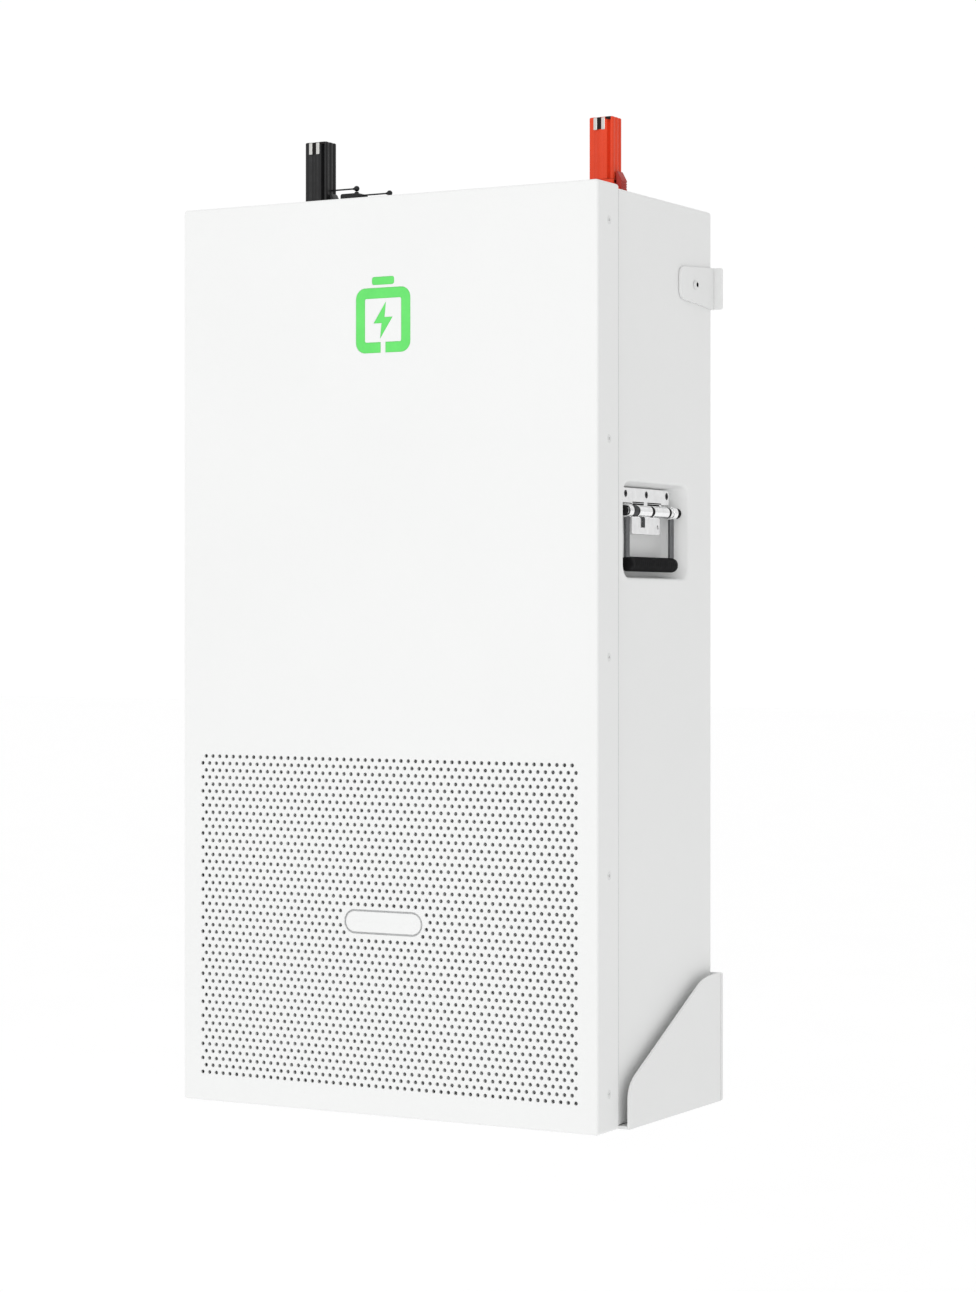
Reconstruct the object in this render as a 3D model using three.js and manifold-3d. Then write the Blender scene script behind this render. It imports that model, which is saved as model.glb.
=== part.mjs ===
// Wall battery unit: a sheet-metal case with a perforated front cover, two recessed folding
// handles, two power terminals and a comms port on top, held by an upper and a lower wall bracket.
// Millimetres, +Z up. X runs across the unit and Y towards the wall. Heights are set out from the
// cover's bottom edge; the exported group then puts the origin on the wall plane, at the centre of
// the upper wall plate's rear face.
import * as THREE from "three";
import { mergeVertices } from "three/addons/utils/BufferGeometryUtils.js";
import Module from "manifold-3d";

// ---------- driving dimensions ----------

// Overall sizes
const COVER_WIDTH = 462;
const COVER_HEIGHT = 880;
const UNIT_DEPTH = 253; // wall plane to the cover's front face

// Fits
const GAP = 0.3; // between touching pieces that are assembled dry
const PIN_CLEARANCE = 0.25; // radial, a hinge pin or shank in its hole
const COVER_CLEARANCE = 0.75; // cover flange over the case

// Sheet thicknesses
const COVER_SHEET = 2;
const CASE_SHEET = 2;
const POCKET_SHEET = 1.5;
const WALL_PLATE = 3;
const EAR_SHEET = 2.5;
const GUSSET_SHEET = 2;
const SHELF_SHEET = 3;

// Front cover and what seals and screws it
const COVER_FLANGE = 41.5; // how far the cover wraps back over the case
const CASE_RIM = 14; // inward lip round the case's open front
const GASKET_WIDTH = 9;
const GASKET_THICK = 5;
const COVER_SCREWS = 5; // each side
const COVER_SCREW_INSET = 23; // from the cover's front face
const COVER_SCREW_END = 35.5; // first and last screw, from the cover's ends
const COVER_SCREW = { head: 3.9, headHeight: 1.9, shank: 2, length: 9, socket: 1.3, socketDepth: 1.2 };

// Status light: a battery pictogram with a bolt in it
const LIGHT_DROP = 114; // pictogram centre below the cover's top
const LIGHT = { width: 60, height: 72, stroke: 9.5, corner: 10, bridge: 6 };
const LIGHT_NUB = { width: 24, height: 7, space: 3.5 };
const LIGHT_BOLT = { halfWidth: 10, halfHeight: 17, waist: 2.5, foot: 3 };
const LENS_FLANGE = { margin: 6, thick: 1.5 };
const LENS_CORNER = 5;
const BOARD = { margin: 2, thick: 1.6, standoff: 1.4, standoffRadius: 1.8, standoffInset: 2.5 };
const LED = { size: 2.5, inset: 8, height: 1, rows: [-24, -8, 8, 24] };
const SMALL_CORNER = 2; // corners of the pictogram's small shapes and of the wall plates

// Blank name badge
const BADGE_HEIGHT_UP = 185; // centre above the cover's bottom
const BADGE = { width: 83.5, height: 19.7, groove: 1.8, flange: 1.2, flangeThick: 1, recess: 0.2 };

// Air filter behind the perforated field
const FILTER = { sideMargin: 10, bottom: 18, top: 352, thick: 6, frame: 12, web: 2 };

// Recessed folding handles, set out about the hinge line
const POCKET = { front: 55, rear: 201, bottom: 511.5, top: 607, depth: 22, corner: 13 };
const POCKET_TAPER = { ends: 15, bottom: 3, top: 6 }; // each wall's slope, opening to floor
const POCKET_LIP = 10; // flange behind the case side
const HINGE_RISE = 577.7; // hinge line above the cover's bottom
const HINGE_SINK = 8.25; // hinge line below the case side
const HINGE_PIN = { radius: 3, half: 63.5, head: 4.6, headLength: 11 };
const KNUCKLE = { radius: 5.75, frontEnd: -29, rearEnd: 34, split: 3 };
const LEAF = { thick: 2, half: 51, height: 14.5, lowerHalf: 31, lowerDrop: 21.7, corner: 3 };
const BAIL = { arm: 47.5, radius: 2.9, drop: 50.5, bend: 9, eye: 6.5, eyeWidth: 8 };
const GRIP = { half: 53, width: 14, height: 14, corner: 6.5 };
const SPRING = { outer: 5.6, wire: 2, turns: 5 };
const LEAF_SCREW = { head: 3, headHeight: 1.6, shank: 1.7, length: 8, socket: 1, socketDepth: 1 };
const LEAF_SCREW_PITCH = 44;
const LEAF_SCREW_SHIFT = 2; // the row's middle, towards the wall from the handle's middle
const LEAF_SCREW_RISE = 8.8; // above the upper leaf's lower edge

// Wall brackets
const WING_REACH = 11.25; // wall plates beyond the case sides
const UPPER_DROP = 78.5; // upper wall plate's centre below the cover's top
const UPPER_PLATE_HEIGHT = 41;
const LOWER_PLATE_TOP = 126;
const LOWER_HOLES_DROP = 25; // anchor holes below the lower plate's top
const EAR = { length: 75, frontHeight: 32, corner: 9, screwSet: 43 };
const EAR_SCREW = { head: 4.4, headHeight: 2.4, shank: 3, length: 18, socket: 2, socketDepth: 1.6 };
const GUSSET_OFFSET = 8.2; // air gap between the case and a gusset
const GUSSET = { length: 201, toe: 28, toeRun: 16, toeRise: 50, heelRun: 150, heelRise: 119, crest: 12 };
const ANCHOR_HOLE = 4.5; // radius
const ANCHOR_STEPS = [-180, -90, 90, 180];

// Power terminals, set out about each terminal's axis
const TERMINAL_INSET = 67.7; // from the cover's side
const TERMINAL_FROM_WALL = 106;
const RECEPTACLE = { halfX: 14, halfY: 11, height: 23, collar: 1.2, collarHeight: 4, corner: 2 };
const RECEPTACLE_FOOT = { left: 5, right: 8, side: 4, corner: 3, thick: 3 };
const BUSHING = { radius: 11, depth: 14 };
const POST = { halfX: 13, halfY: 10, top: 84, corner: 2.2 };
const DEEP_FLUTE = { inset: 3.2, radius: 1.3 };
const FRONT_FLUTE = { inset: 4.6, radius: 0.6 };
const SIDE_FLUTE = { places: [-2, 4], radius: 0.7 };
const CONTACT = { width: 14, thick: 4, tail: 46 };
const PRONG = { width: 4, rise: 12, overlap: 4, recess: 0.8, drop: 0.5, offsets: [-6, 2.5] };
const LATCH = { thick: 6, halfWidth: 6, bottom: 4, top: 31, shoulder: 22, space: 0.6 };
const LATCH_PIVOT = { rise: 11, stub: 1.5 };
const LATCH_LUG = { half: 9, thick: 2.6, bottom: 1, height: 16, beyond: 0.5 };

// Comms port beside the negative terminal, and the two ball-ended locking pins
const PORT = { offset: 40, halfX: 11, halfY: 9, height: 29.2, corner: 2 };
const PORT_SOCKET = { halfX: 8, bottom: 5, top: 15, depth: 10 };
const PORT_POST = 2.2; // radius
const PORT_BUSHING = { radius: 7, depth: 8 };
const LOCK_PIN = { radius: 0.8, ball: 2.9, engaged: 4.5, slack: 0.5 };
const POST_PIN_RISE = 34.8; // above the case's top
const POST_PIN_REACH = 43; // terminal axis to ball centre
const PORT_PIN_RISE = 27.6;
const PORT_PIN_REACH = 42; // port axis to ball centre

// Inside the case
const CELL = { width: 174, depth: 207, pitch: 72, count: 8, groove: 1.5, column: 1 };
const CELL_FLOOR = 26; // bottom of the cells above the cover's bottom
const CELL_BACK = 12; // behind the cells, to the wall plane
const CRADLE = { height: 14, rim: 8, wall: 3 };
const BMS = { width: 230, height: 150, thick: 2, sink: 14, drop: 60, shift: -60, standoff: 30 };
const FIN = { count: 9, half: 3, inset: 20, endInset: 15 };
const BREAKER = { width: 54, height: 90, depth: 76, shift: 150 };
const LEVER = { half: 10, reach: 12, halfHeight: 8 };

// Mesh fineness
const ARC = 4; // steps in a rounded corner
const ROUND = 12; // sides of a small round
const ROUND_FINE = 20; // sides of a larger one

// ---------- planes worked out from the sizes ----------

const coverHalf = COVER_WIDTH / 2;
const coverFront = -UNIT_DEPTH;
const coverInner = coverFront + COVER_SHEET;
const caseHalf = coverHalf - COVER_SHEET - COVER_CLEARANCE;
const caseTop = COVER_HEIGHT - COVER_SHEET - COVER_CLEARANCE;
const caseBottom = COVER_SHEET + COVER_CLEARANCE;
const caseFront = coverInner + GAP + GASKET_THICK + GAP;
const plateFront = -WALL_PLATE;
const caseBack = plateFront - GAP;
const wingHalf = caseHalf + WING_REACH;
const upperCentre = COVER_HEIGHT - UPPER_DROP;
const shelfTop = caseBottom - GAP;
const shelfBottom = shelfTop - SHELF_SHEET;
const lightCentre = COVER_HEIGHT - LIGHT_DROP;
const terminalX = coverHalf - TERMINAL_INSET;
const terminalY = -TERMINAL_FROM_WALL;
const hingeX = caseHalf - HINGE_SINK;
const hingeY = coverFront + (POCKET.front + POCKET.rear) / 2;
const leafFace = hingeX - KNUCKLE.radius + LEAF.thick;
const leafBack = leafFace - LEAF.thick;
const upperLeafLow = HINGE_RISE + BAIL.eye + 1;
const earScrewY = plateFront - EAR.screwSet;
const latchX = RECEPTACLE.halfX + LATCH.thick / 2 + LATCH.space;
const portX = -terminalX + PORT.offset;
const cellFront = -CELL_BACK - CELL.depth;

// ---------- solids ----------

const wasm = await Module();
wasm.setup();

function solidOf(geometry) {
  const loose = geometry.index ? geometry.toNonIndexed() : geometry.clone();
  loose.deleteAttribute("normal");
  loose.deleteAttribute("uv");
  const merged = mergeVertices(loose, 1e-4);
  return new wasm.Manifold(
    new wasm.Mesh({
      numProp: 3,
      vertProperties: merged.attributes.position.array,
      triVerts: new Uint32Array(merged.index.array),
    }),
  );
}

function geometryOf(solid) {
  const mesh = solid.getMesh();
  const geometry = new THREE.BufferGeometry();
  geometry.setAttribute("position", new THREE.BufferAttribute(mesh.vertProperties, 3));
  geometry.setIndex(new THREE.BufferAttribute(mesh.triVerts, 1));
  return geometry;
}

function join(...geometries) {
  return geometryOf(geometries.map(solidOf).reduce((all, next) => all.add(next)));
}

function cut(geometry, ...tools) {
  const solids = tools.map(solidOf);
  return geometryOf(solids.reduce((left, tool) => left.subtract(tool), solidOf(geometry)));
}

// The same piece for the unit's other side.
function mirrored(geometry) {
  const flipped = geometry.index ? geometry.toNonIndexed() : geometry.clone();
  flipped.scale(-1, 1, 1);
  const p = flipped.attributes.position.array;
  for (let i = 0; i < p.length; i += 9) {
    for (let k = 3; k < 6; k++) [p[i + k], p[i + k + 3]] = [p[i + k + 3], p[i + k]];
  }
  return flipped;
}

function box(x0, x1, y0, y1, z0, z1) {
  const geometry = new THREE.BoxGeometry(x1 - x0, y1 - y0, z1 - z0);
  return geometry.translate((x0 + x1) / 2, (y0 + y1) / 2, (z0 + z1) / 2);
}

// Outlines are arrays of Vector2 that run anticlockwise.
function roundedOutline(a0, a1, b0, b1, radius, steps = ARC) {
  const corners = [
    [a1 - radius, b0 + radius, -90],
    [a1 - radius, b1 - radius, 0],
    [a0 + radius, b1 - radius, 90],
    [a0 + radius, b0 + radius, 180],
  ];
  return corners.flatMap(([a, b, start]) =>
    Array.from({ length: steps + 1 }, (_, i) => {
      const turn = THREE.MathUtils.degToRad(start + (90 * i) / steps);
      return new THREE.Vector2(a + radius * Math.cos(turn), b + radius * Math.sin(turn));
    }),
  );
}

// An outline moved outwards by a distance, or inwards by a negative one.
function grown(outline, distance) {
  const normal = (from, to) => new THREE.Vector2(to.y - from.y, from.x - to.x).normalize();
  return outline.map((point, i) => {
    const before = normal(outline.at(i - 1), point);
    const after = normal(point, outline[(i + 1) % outline.length]);
    const mitre = distance / (1 + before.dot(after));
    return point.clone().addScaledVector(before.add(after), mitre);
  });
}

function extruded(outline, depth) {
  return new THREE.ExtrudeGeometry(new THREE.Shape(outline), { depth, bevelEnabled: false });
}

// Prisms along each axis, from an outline in (y, z), (x, z) or (x, y).
function prismX(outline, x0, x1) {
  const [x, y, z] = [new THREE.Vector3(1, 0, 0), new THREE.Vector3(0, 1, 0), new THREE.Vector3(0, 0, 1)];
  const turn = new THREE.Matrix4().makeBasis(y, z, x);
  return extruded(outline, x1 - x0).applyMatrix4(turn).translate(x0, 0, 0);
}

function prismY(outline, y0, y1) {
  return extruded(outline, y1 - y0).rotateX(Math.PI / 2).translate(0, y1, 0);
}

function prismZ(outline, z0, z1) {
  return extruded(outline, z1 - z0).translate(0, 0, z0);
}

// Rounds along each axis, about a centre line given by its other two coordinates.
function roundX(y, z, radius, x0, x1, sides = ROUND) {
  const geometry = new THREE.CylinderGeometry(radius, radius, x1 - x0, sides);
  return geometry.rotateZ(-Math.PI / 2).translate((x0 + x1) / 2, y, z);
}

function roundY(x, z, radius, y0, y1, sides = ROUND) {
  return new THREE.CylinderGeometry(radius, radius, y1 - y0, sides).translate(x, (y0 + y1) / 2, z);
}

function roundZ(x, y, radius, z0, z1, sides = ROUND) {
  const geometry = new THREE.CylinderGeometry(radius, radius, z1 - z0, sides);
  return geometry.rotateX(Math.PI / 2).translate(x, y, (z0 + z1) / 2);
}

// A closed skin over rings with equal point counts and flat, convex ends.
function loft(rings) {
  const count = rings[0].length;
  const last = (rings.length - 1) * count;
  const index = [];
  for (let row = 0; row < last; row += count) {
    for (let i = 0; i < count; i++) {
      const [a, b] = [row + i, row + ((i + 1) % count)];
      index.push(a, b, b + count, a, b + count, a + count);
    }
  }
  for (let i = 1; i < count - 1; i++) {
    index.push(0, i + 1, i, last, last + i, last + i + 1);
  }
  const geometry = new THREE.BufferGeometry().setFromPoints(rings.flat());
  return geometry.setIndex(index);
}

// A screw along +X with its head's top face at x = 0.
function screw({ head, headHeight, shank, length, socket, socketDepth }, raised = false) {
  const under = raised ? 0 : -headHeight;
  const top = raised ? headHeight : 0;
  const shoulder = raised ? [[head, 0], [head, headHeight * 0.45], [head * 0.7, headHeight]] : [[head, 0]];
  const profile = [
    [0, -length],
    [shank, -length],
    [shank, under],
    ...shoulder,
    [socket, top],
    [socket, top - socketDepth],
    [0, top - socketDepth],
  ];
  const points = profile.map(([radius, height]) => new THREE.Vector2(radius, height));
  return new THREE.LatheGeometry(points, ROUND).rotateZ(-Math.PI / 2);
}

// The hole that a countersunk screw sits in.
function countersink({ head, headHeight, shank }, depth) {
  const slack = PIN_CLEARANCE;
  const cone = head + slack + 1; // the cone runs 1 mm past the face
  const points = [
    new THREE.Vector2(0, -depth),
    new THREE.Vector2(shank + slack, -depth),
    new THREE.Vector2(shank + slack, -headHeight - slack),
    new THREE.Vector2(cone, 1),
    new THREE.Vector2(0, 1),
  ];
  return new THREE.LatheGeometry(points, ROUND).rotateZ(-Math.PI / 2);
}

// ---------- front cover ----------

const coverScrewRises = Array.from(
  { length: COVER_SCREWS },
  (_, i) => COVER_SCREW_END + ((COVER_HEIGHT - 2 * COVER_SCREW_END) * i) / (COVER_SCREWS - 1),
);

// The pictogram's outlines about (0, 0): a battery's shell with one bridge, its nub and a bolt.
function lightOutlines() {
  const { width, height, stroke, corner, bridge } = LIGHT;
  const shellTop = height / 2 - LIGHT_NUB.height - LIGHT_NUB.space;
  const [half, low] = [width / 2, -height / 2];
  const outer = roundedOutline(-half, half, low, shellTop, corner);
  const inner = roundedOutline(
    -half + stroke, half - stroke, low + stroke, shellTop - stroke, Math.max(corner - stroke, SMALL_CORNER),
  );
  const shell = [
    new THREE.Vector2(bridge / 2, low),
    ...outer,
    new THREE.Vector2(-bridge / 2, low),
    new THREE.Vector2(-bridge / 2, low + stroke),
    ...inner.reverse(),
    new THREE.Vector2(bridge / 2, low + stroke),
  ];
  const nub = roundedOutline(
    -LIGHT_NUB.width / 2, LIGHT_NUB.width / 2, height / 2 - LIGHT_NUB.height, height / 2, SMALL_CORNER, 2,
  );
  const { halfWidth, halfHeight, waist, foot } = LIGHT_BOLT;
  const middle = (low + shellTop) / 2;
  const bolt = [
    [-halfWidth, -waist], [-waist / 2, -waist], [-foot, -halfHeight],
    [halfWidth, waist], [waist / 2, waist], [foot, halfHeight],
  ].map(([a, b]) => new THREE.Vector2(a, middle + b));
  return [shell, nub, bolt];
}

function lightPrisms(grow, y0, y1) {
  return lightOutlines().map((outline) => prismY(grown(outline, grow), y0, y1).translate(0, 0, lightCentre));
}

function badgeOutline(grow) {
  const { width, height } = BADGE;
  const [low, high] = [BADGE_HEIGHT_UP - height / 2, BADGE_HEIGHT_UP + height / 2];
  return grown(roundedOutline(-width / 2, width / 2, low, high, height / 2 - 0.01, 2 * ARC), grow);
}

function frontCover() {
  const inside = coverHalf - COVER_SHEET;
  const tray = cut(
    box(-coverHalf, coverHalf, coverFront, coverFront + COVER_FLANGE, 0, COVER_HEIGHT),
    box(-inside, inside, coverInner, coverFront + COVER_FLANGE + 1, COVER_SHEET, COVER_HEIGHT - COVER_SHEET),
  );
  const holes = coverScrewRises.flatMap((rise) => {
    const hole = countersink(COVER_SCREW, COVER_SHEET + 1);
    hole.translate(coverHalf, coverFront + COVER_SCREW_INSET, rise);
    return [hole, mirrored(hole)];
  });
  const windows = lightPrisms(GAP, coverFront - 1, coverInner + 1);
  const badgeHole = prismY(badgeOutline(BADGE.groove), coverFront - 1, coverInner + 1);
  return cut(tray, ...holes, ...windows, badgeHole);
}

function coverGasket() {
  const outer = caseHalf - GAP;
  const inner = outer - GASKET_WIDTH;
  const [y0, y1] = [coverInner + GAP, coverInner + GAP + GASKET_THICK];
  const [low, high] = [caseBottom + GAP, caseTop - GAP];
  return cut(
    box(-outer, outer, y0, y1, low, high),
    box(-inner, inner, y0 - 1, y1 + 1, low + GASKET_WIDTH, high - GASKET_WIDTH),
  );
}

function statusLightLens() {
  const back = coverInner + GAP;
  const { margin, thick } = LENS_FLANGE;
  const [halfX, halfZ] = [LIGHT.width / 2 + margin, LIGHT.height / 2 + margin];
  const plate = prismY(
    roundedOutline(-halfX, halfX, lightCentre - halfZ, lightCentre + halfZ, LENS_CORNER), back, back + thick,
  );
  return join(plate, ...lightPrisms(0, coverFront, back + thick / 2));
}

function statusLightBoard() {
  const face = coverInner + GAP + LENS_FLANGE.thick + GAP + BOARD.standoff;
  const { margin, thick, standoff, standoffRadius, standoffInset } = BOARD;
  const [halfX, halfZ] = [LIGHT.width / 2 + margin, LIGHT.height / 2 + margin];
  const plate = box(-halfX, halfX, face, face + thick, lightCentre - halfZ, lightCentre + halfZ);
  const leds = [-1, 1].flatMap((side) =>
    LED.rows.map((rise) => {
      const [x, z, half] = [side * (halfX - LED.inset), lightCentre + rise, LED.size / 2];
      return box(x - half, x + half, face - LED.height, face + thick / 2, z - half, z + half);
    }),
  );
  const standoffs = [-1, 1].flatMap((sideX) =>
    [-1, 1].map((sideZ) => {
      const [x, z] = [sideX * (halfX - standoffInset), lightCentre + sideZ * (halfZ - standoffInset)];
      return roundY(x, z, standoffRadius, face - standoff, face + thick / 2, 8);
    }),
  );
  return join(plate, ...leds, ...standoffs);
}

function nameBadge() {
  const back = coverInner + GAP;
  return join(
    prismY(badgeOutline(BADGE.groove + BADGE.flange), back, back + BADGE.flangeThick),
    prismY(badgeOutline(0), coverFront + BADGE.recess, back + BADGE.flangeThick / 2),
  );
}

function dustFilter() {
  const half = caseHalf - CASE_SHEET - FILTER.sideMargin;
  const front = caseFront + CASE_SHEET + GAP;
  const back = front + FILTER.thick;
  const { bottom, top, frame, web } = FILTER;
  const bays = [-1, 0, 1].map((bay) => {
    const width = (2 * half - 4 * frame) / 3;
    const centre = bay * (width + frame);
    return box(centre - width / 2, centre + width / 2, front + web, back + 1, bottom + frame, top - frame);
  });
  return cut(box(-half, half, front, back, bottom, top), ...bays);
}

// ---------- handles, made for the +X side ----------

const pocketWalls = {
  front: coverFront + POCKET.front,
  rear: coverFront + POCKET.rear,
  bottom: POCKET.bottom,
  top: POCKET.top,
};

function pocketOutline(sunk, grow) {
  const share = sunk / POCKET.depth;
  const ends = POCKET_TAPER.ends * share;
  const outline = roundedOutline(
    pocketWalls.front + ends,
    pocketWalls.rear - ends,
    pocketWalls.bottom + POCKET_TAPER.bottom * share,
    pocketWalls.top - POCKET_TAPER.top * share,
    POCKET.corner,
  );
  return grown(outline, grow);
}

function pocketLoft(deep, shallow, grow) {
  const ring = (sunk) =>
    pocketOutline(sunk, grow).map((point) => new THREE.Vector3(caseHalf - sunk, point.x, point.y));
  return loft([ring(deep), ring(shallow)]);
}

// The hinge plate's outline pieces: a wide leaf over the hinge line and a narrower one below it.
const leafOutlines = [
  roundedOutline(
    hingeY - LEAF.half, hingeY + LEAF.half, upperLeafLow, upperLeafLow + LEAF.height, LEAF.corner, 2,
  ),
  roundedOutline(
    hingeY + KNUCKLE.frontEnd, hingeY + LEAF.lowerHalf,
    HINGE_RISE - LEAF.lowerDrop, upperLeafLow + LEAF.height / 2, LEAF.corner, 2,
  ),
];

function handlePocket() {
  const floor = POCKET.depth;
  const wall = POCKET_SHEET;
  const lipOuter = caseHalf - CASE_SHEET - GAP;
  const lip = prismX(pocketOutline(0, wall + POCKET_LIP), lipOuter - wall, lipOuter);
  const skin = join(pocketLoft(floor + wall, 0, wall), lip);
  const pan = cut(skin, pocketLoft(floor, -1, 0));
  const pads = leafOutlines.map((outline) =>
    prismX(outline, caseHalf - floor - wall / 2, leafBack - GAP),
  );
  return cut(join(pan, ...pads), ...leafScrewHoles());
}

const leafScrewSpots = {
  front: LEAF_SCREW_SHIFT - LEAF_SCREW_PITCH,
  middle: LEAF_SCREW_SHIFT,
  rear: LEAF_SCREW_SHIFT + LEAF_SCREW_PITCH,
};

function atLeafScrew(geometry, shift) {
  return geometry.translate(leafFace, hingeY + shift, upperLeafLow + LEAF_SCREW_RISE);
}

function leafScrewHoles() {
  return Object.values(leafScrewSpots).map((shift) =>
    atLeafScrew(countersink(LEAF_SCREW, LEAF_SCREW.length + 1), shift),
  );
}

function hingePlate() {
  const { radius, frontEnd, rearEnd, split } = KNUCKLE;
  const leaves = leafOutlines.map((outline) => prismX(outline, leafBack, leafFace));
  const webs = [
    [frontEnd, -split],
    [split, rearEnd],
  ].map(([y0, y1]) =>
    join(
      roundY(hingeX, HINGE_RISE, radius, hingeY + y0, hingeY + y1, ROUND_FINE),
      box(leafBack, leafFace, hingeY + y0, hingeY + y1, HINGE_RISE, upperLeafLow + LEAF.corner),
    ),
  );
  const reach = HINGE_PIN.half;
  const bore = roundY(hingeX, HINGE_RISE, HINGE_PIN.radius + PIN_CLEARANCE, hingeY - reach, hingeY + reach);
  const gap = box(
    leafFace, hingeX + radius + 1, hingeY - split, hingeY + split, HINGE_RISE - radius - 1, upperLeafLow,
  );
  return cut(join(...leaves, ...webs), bore, gap, ...leafScrewHoles());
}

function handlePin() {
  const { radius, half, head, headLength } = HINGE_PIN;
  const shaft = roundY(hingeX, HINGE_RISE, radius, hingeY - half, hingeY + half);
  const heads = [-1, 1].map((end) => {
    const [y0, y1] = [end * half, end * (half - headLength)].sort((a, b) => a - b);
    return roundY(hingeX, HINGE_RISE, head, hingeY + y0, hingeY + y1);
  });
  return join(shaft, ...heads);
}

// The bail's rod: down one arm, round two bends and up the other, in the plane of the hinge line.
function bailRod(radius) {
  const { arm, drop, bend } = BAIL;
  const low = HINGE_RISE - drop;
  const bends = [
    [-1, 180],
    [1, 270],
  ].flatMap(([side, start]) =>
    Array.from({ length: ARC + 1 }, (_, i) => {
      const turn = THREE.MathUtils.degToRad(start + (90 * i) / ARC);
      const across = side * (arm - bend) + bend * Math.cos(turn);
      return new THREE.Vector3(hingeX, hingeY + across, low + bend + bend * Math.sin(turn));
    }),
  );
  const path = [
    new THREE.Vector3(hingeX, hingeY - arm, HINGE_RISE - BAIL.eye + 1),
    ...bends,
    new THREE.Vector3(hingeX, hingeY + arm, HINGE_RISE - BAIL.eye + 1),
  ];
  const outward = new THREE.Vector3(1, 0, 0);
  const rings = path.map((centre, i) => {
    const ahead = path[Math.min(i + 1, path.length - 1)].clone().sub(path[Math.max(i - 1, 0)]).normalize();
    const across = ahead.clone().cross(outward);
    return Array.from({ length: ROUND }, (_, side) => {
      const turn = (2 * Math.PI * side) / ROUND;
      return centre
        .clone()
        .addScaledVector(outward, radius * Math.cos(turn))
        .addScaledVector(across, radius * Math.sin(turn));
    });
  });
  return loft(rings);
}

function handleBail() {
  const { arm, radius, eye, eyeWidth } = BAIL;
  const ends = [-1, 1].map((side) => hingeY + side * arm);
  const eyes = ends.map((y) =>
    roundY(hingeX, HINGE_RISE, eye, y - eyeWidth / 2, y + eyeWidth / 2, ROUND_FINE),
  );
  const bores = ends.map((y) =>
    roundY(hingeX, HINGE_RISE, HINGE_PIN.radius + PIN_CLEARANCE, y - eyeWidth, y + eyeWidth),
  );
  return cut(join(bailRod(radius), ...eyes), ...bores);
}

function handleGrip() {
  const { half, width, height, corner } = GRIP;
  const centre = HINGE_RISE - BAIL.drop;
  const ends = [
    [0, 3],
    [1, 1.5],
    [3, 0.5],
    [6, 0],
  ]; // how far in from the end, and how much the section shrinks there
  const stations = [
    ...ends.map(([inset, pinch]) => [-half + inset, pinch]),
    ...ends.toReversed().map(([inset, pinch]) => [half - inset, pinch]),
  ];
  const rings = stations.map(([along, pinch]) => {
    const [a, b] = [height / 2 - pinch, width / 2 - pinch];
    return roundedOutline(-a, a, -b, b, corner - pinch, 3).map(
      (point) => new THREE.Vector3(hingeX + point.y, hingeY + along, centre + point.x),
    );
  });
  return cut(loft(rings), bailRod(BAIL.radius + GAP));
}

// The torsion spring's close-wound turns, between the front arm's eye and the front knuckle.
function handleSpring() {
  const { outer, wire, turns } = SPRING;
  const inner = outer - wire;
  const start = hingeY + KNUCKLE.frontEnd - GAP - wire / 2;
  const coil = (depth) => start - turns * wire + depth * wire;
  const outline = Array.from({ length: turns }, (_, turn) => [
    new THREE.Vector2(outer - wire / 4, coil(turn)),
    new THREE.Vector2(outer, coil(turn + 0.5)),
  ]).flat();
  const profile = [
    new THREE.Vector2(inner, coil(0)),
    ...outline,
    new THREE.Vector2(outer - wire / 4, coil(turns)),
    new THREE.Vector2(inner, coil(turns)),
    new THREE.Vector2(inner, coil(0)),
  ];
  return new THREE.LatheGeometry(profile, ROUND).translate(hingeX, 0, HINGE_RISE);
}

// ---------- case ----------

function rearCase() {
  const inner = caseHalf - CASE_SHEET;
  const mouth = caseHalf - CASE_RIM;
  const shell = cut(
    box(-caseHalf, caseHalf, caseFront, caseBack, caseBottom, caseTop),
    box(
      -inner, inner, caseFront + CASE_SHEET, caseBack - CASE_SHEET,
      caseBottom + CASE_SHEET, caseTop - CASE_SHEET,
    ),
    box(-mouth, mouth, caseFront - 1, caseFront + CASE_SHEET + 1, caseBottom + CASE_RIM, caseTop - CASE_RIM),
  );
  const screwHole = COVER_SCREW.shank + PIN_CLEARANCE;
  const sideTools = [
    prismX(pocketOutline(0, POCKET_SHEET + GAP), caseHalf - CASE_SHEET - 1, caseHalf + 1),
    ...coverScrewRises.map((rise) =>
      roundX(coverFront + COVER_SCREW_INSET, rise, screwHole, inner - 1, caseHalf + 1),
    ),
    roundX(earScrewY, upperCentre, EAR_SCREW.shank + PIN_CLEARANCE, inner - 1, caseHalf + 1),
  ];
  const topTools = [
    [-terminalX, BUSHING.radius],
    [terminalX, BUSHING.radius],
    [portX, PORT_BUSHING.radius],
  ].map(([x, radius]) =>
    roundZ(x, terminalY, radius + GAP, caseTop - CASE_SHEET - 1, caseTop + 1, ROUND_FINE),
  );
  return cut(shell, ...sideTools, ...sideTools.map(mirrored), ...topTools);
}

// ---------- wall brackets ----------

function wallPlate(z0, z1, holeRise) {
  const plate = prismY(roundedOutline(-wingHalf, wingHalf, z0, z1, SMALL_CORNER, 2), -WALL_PLATE, 0);
  const holes = ANCHOR_STEPS.map((x) => roundY(x, holeRise, ANCHOR_HOLE, -WALL_PLATE - 1, 1));
  return cut(plate, ...holes);
}

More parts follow.
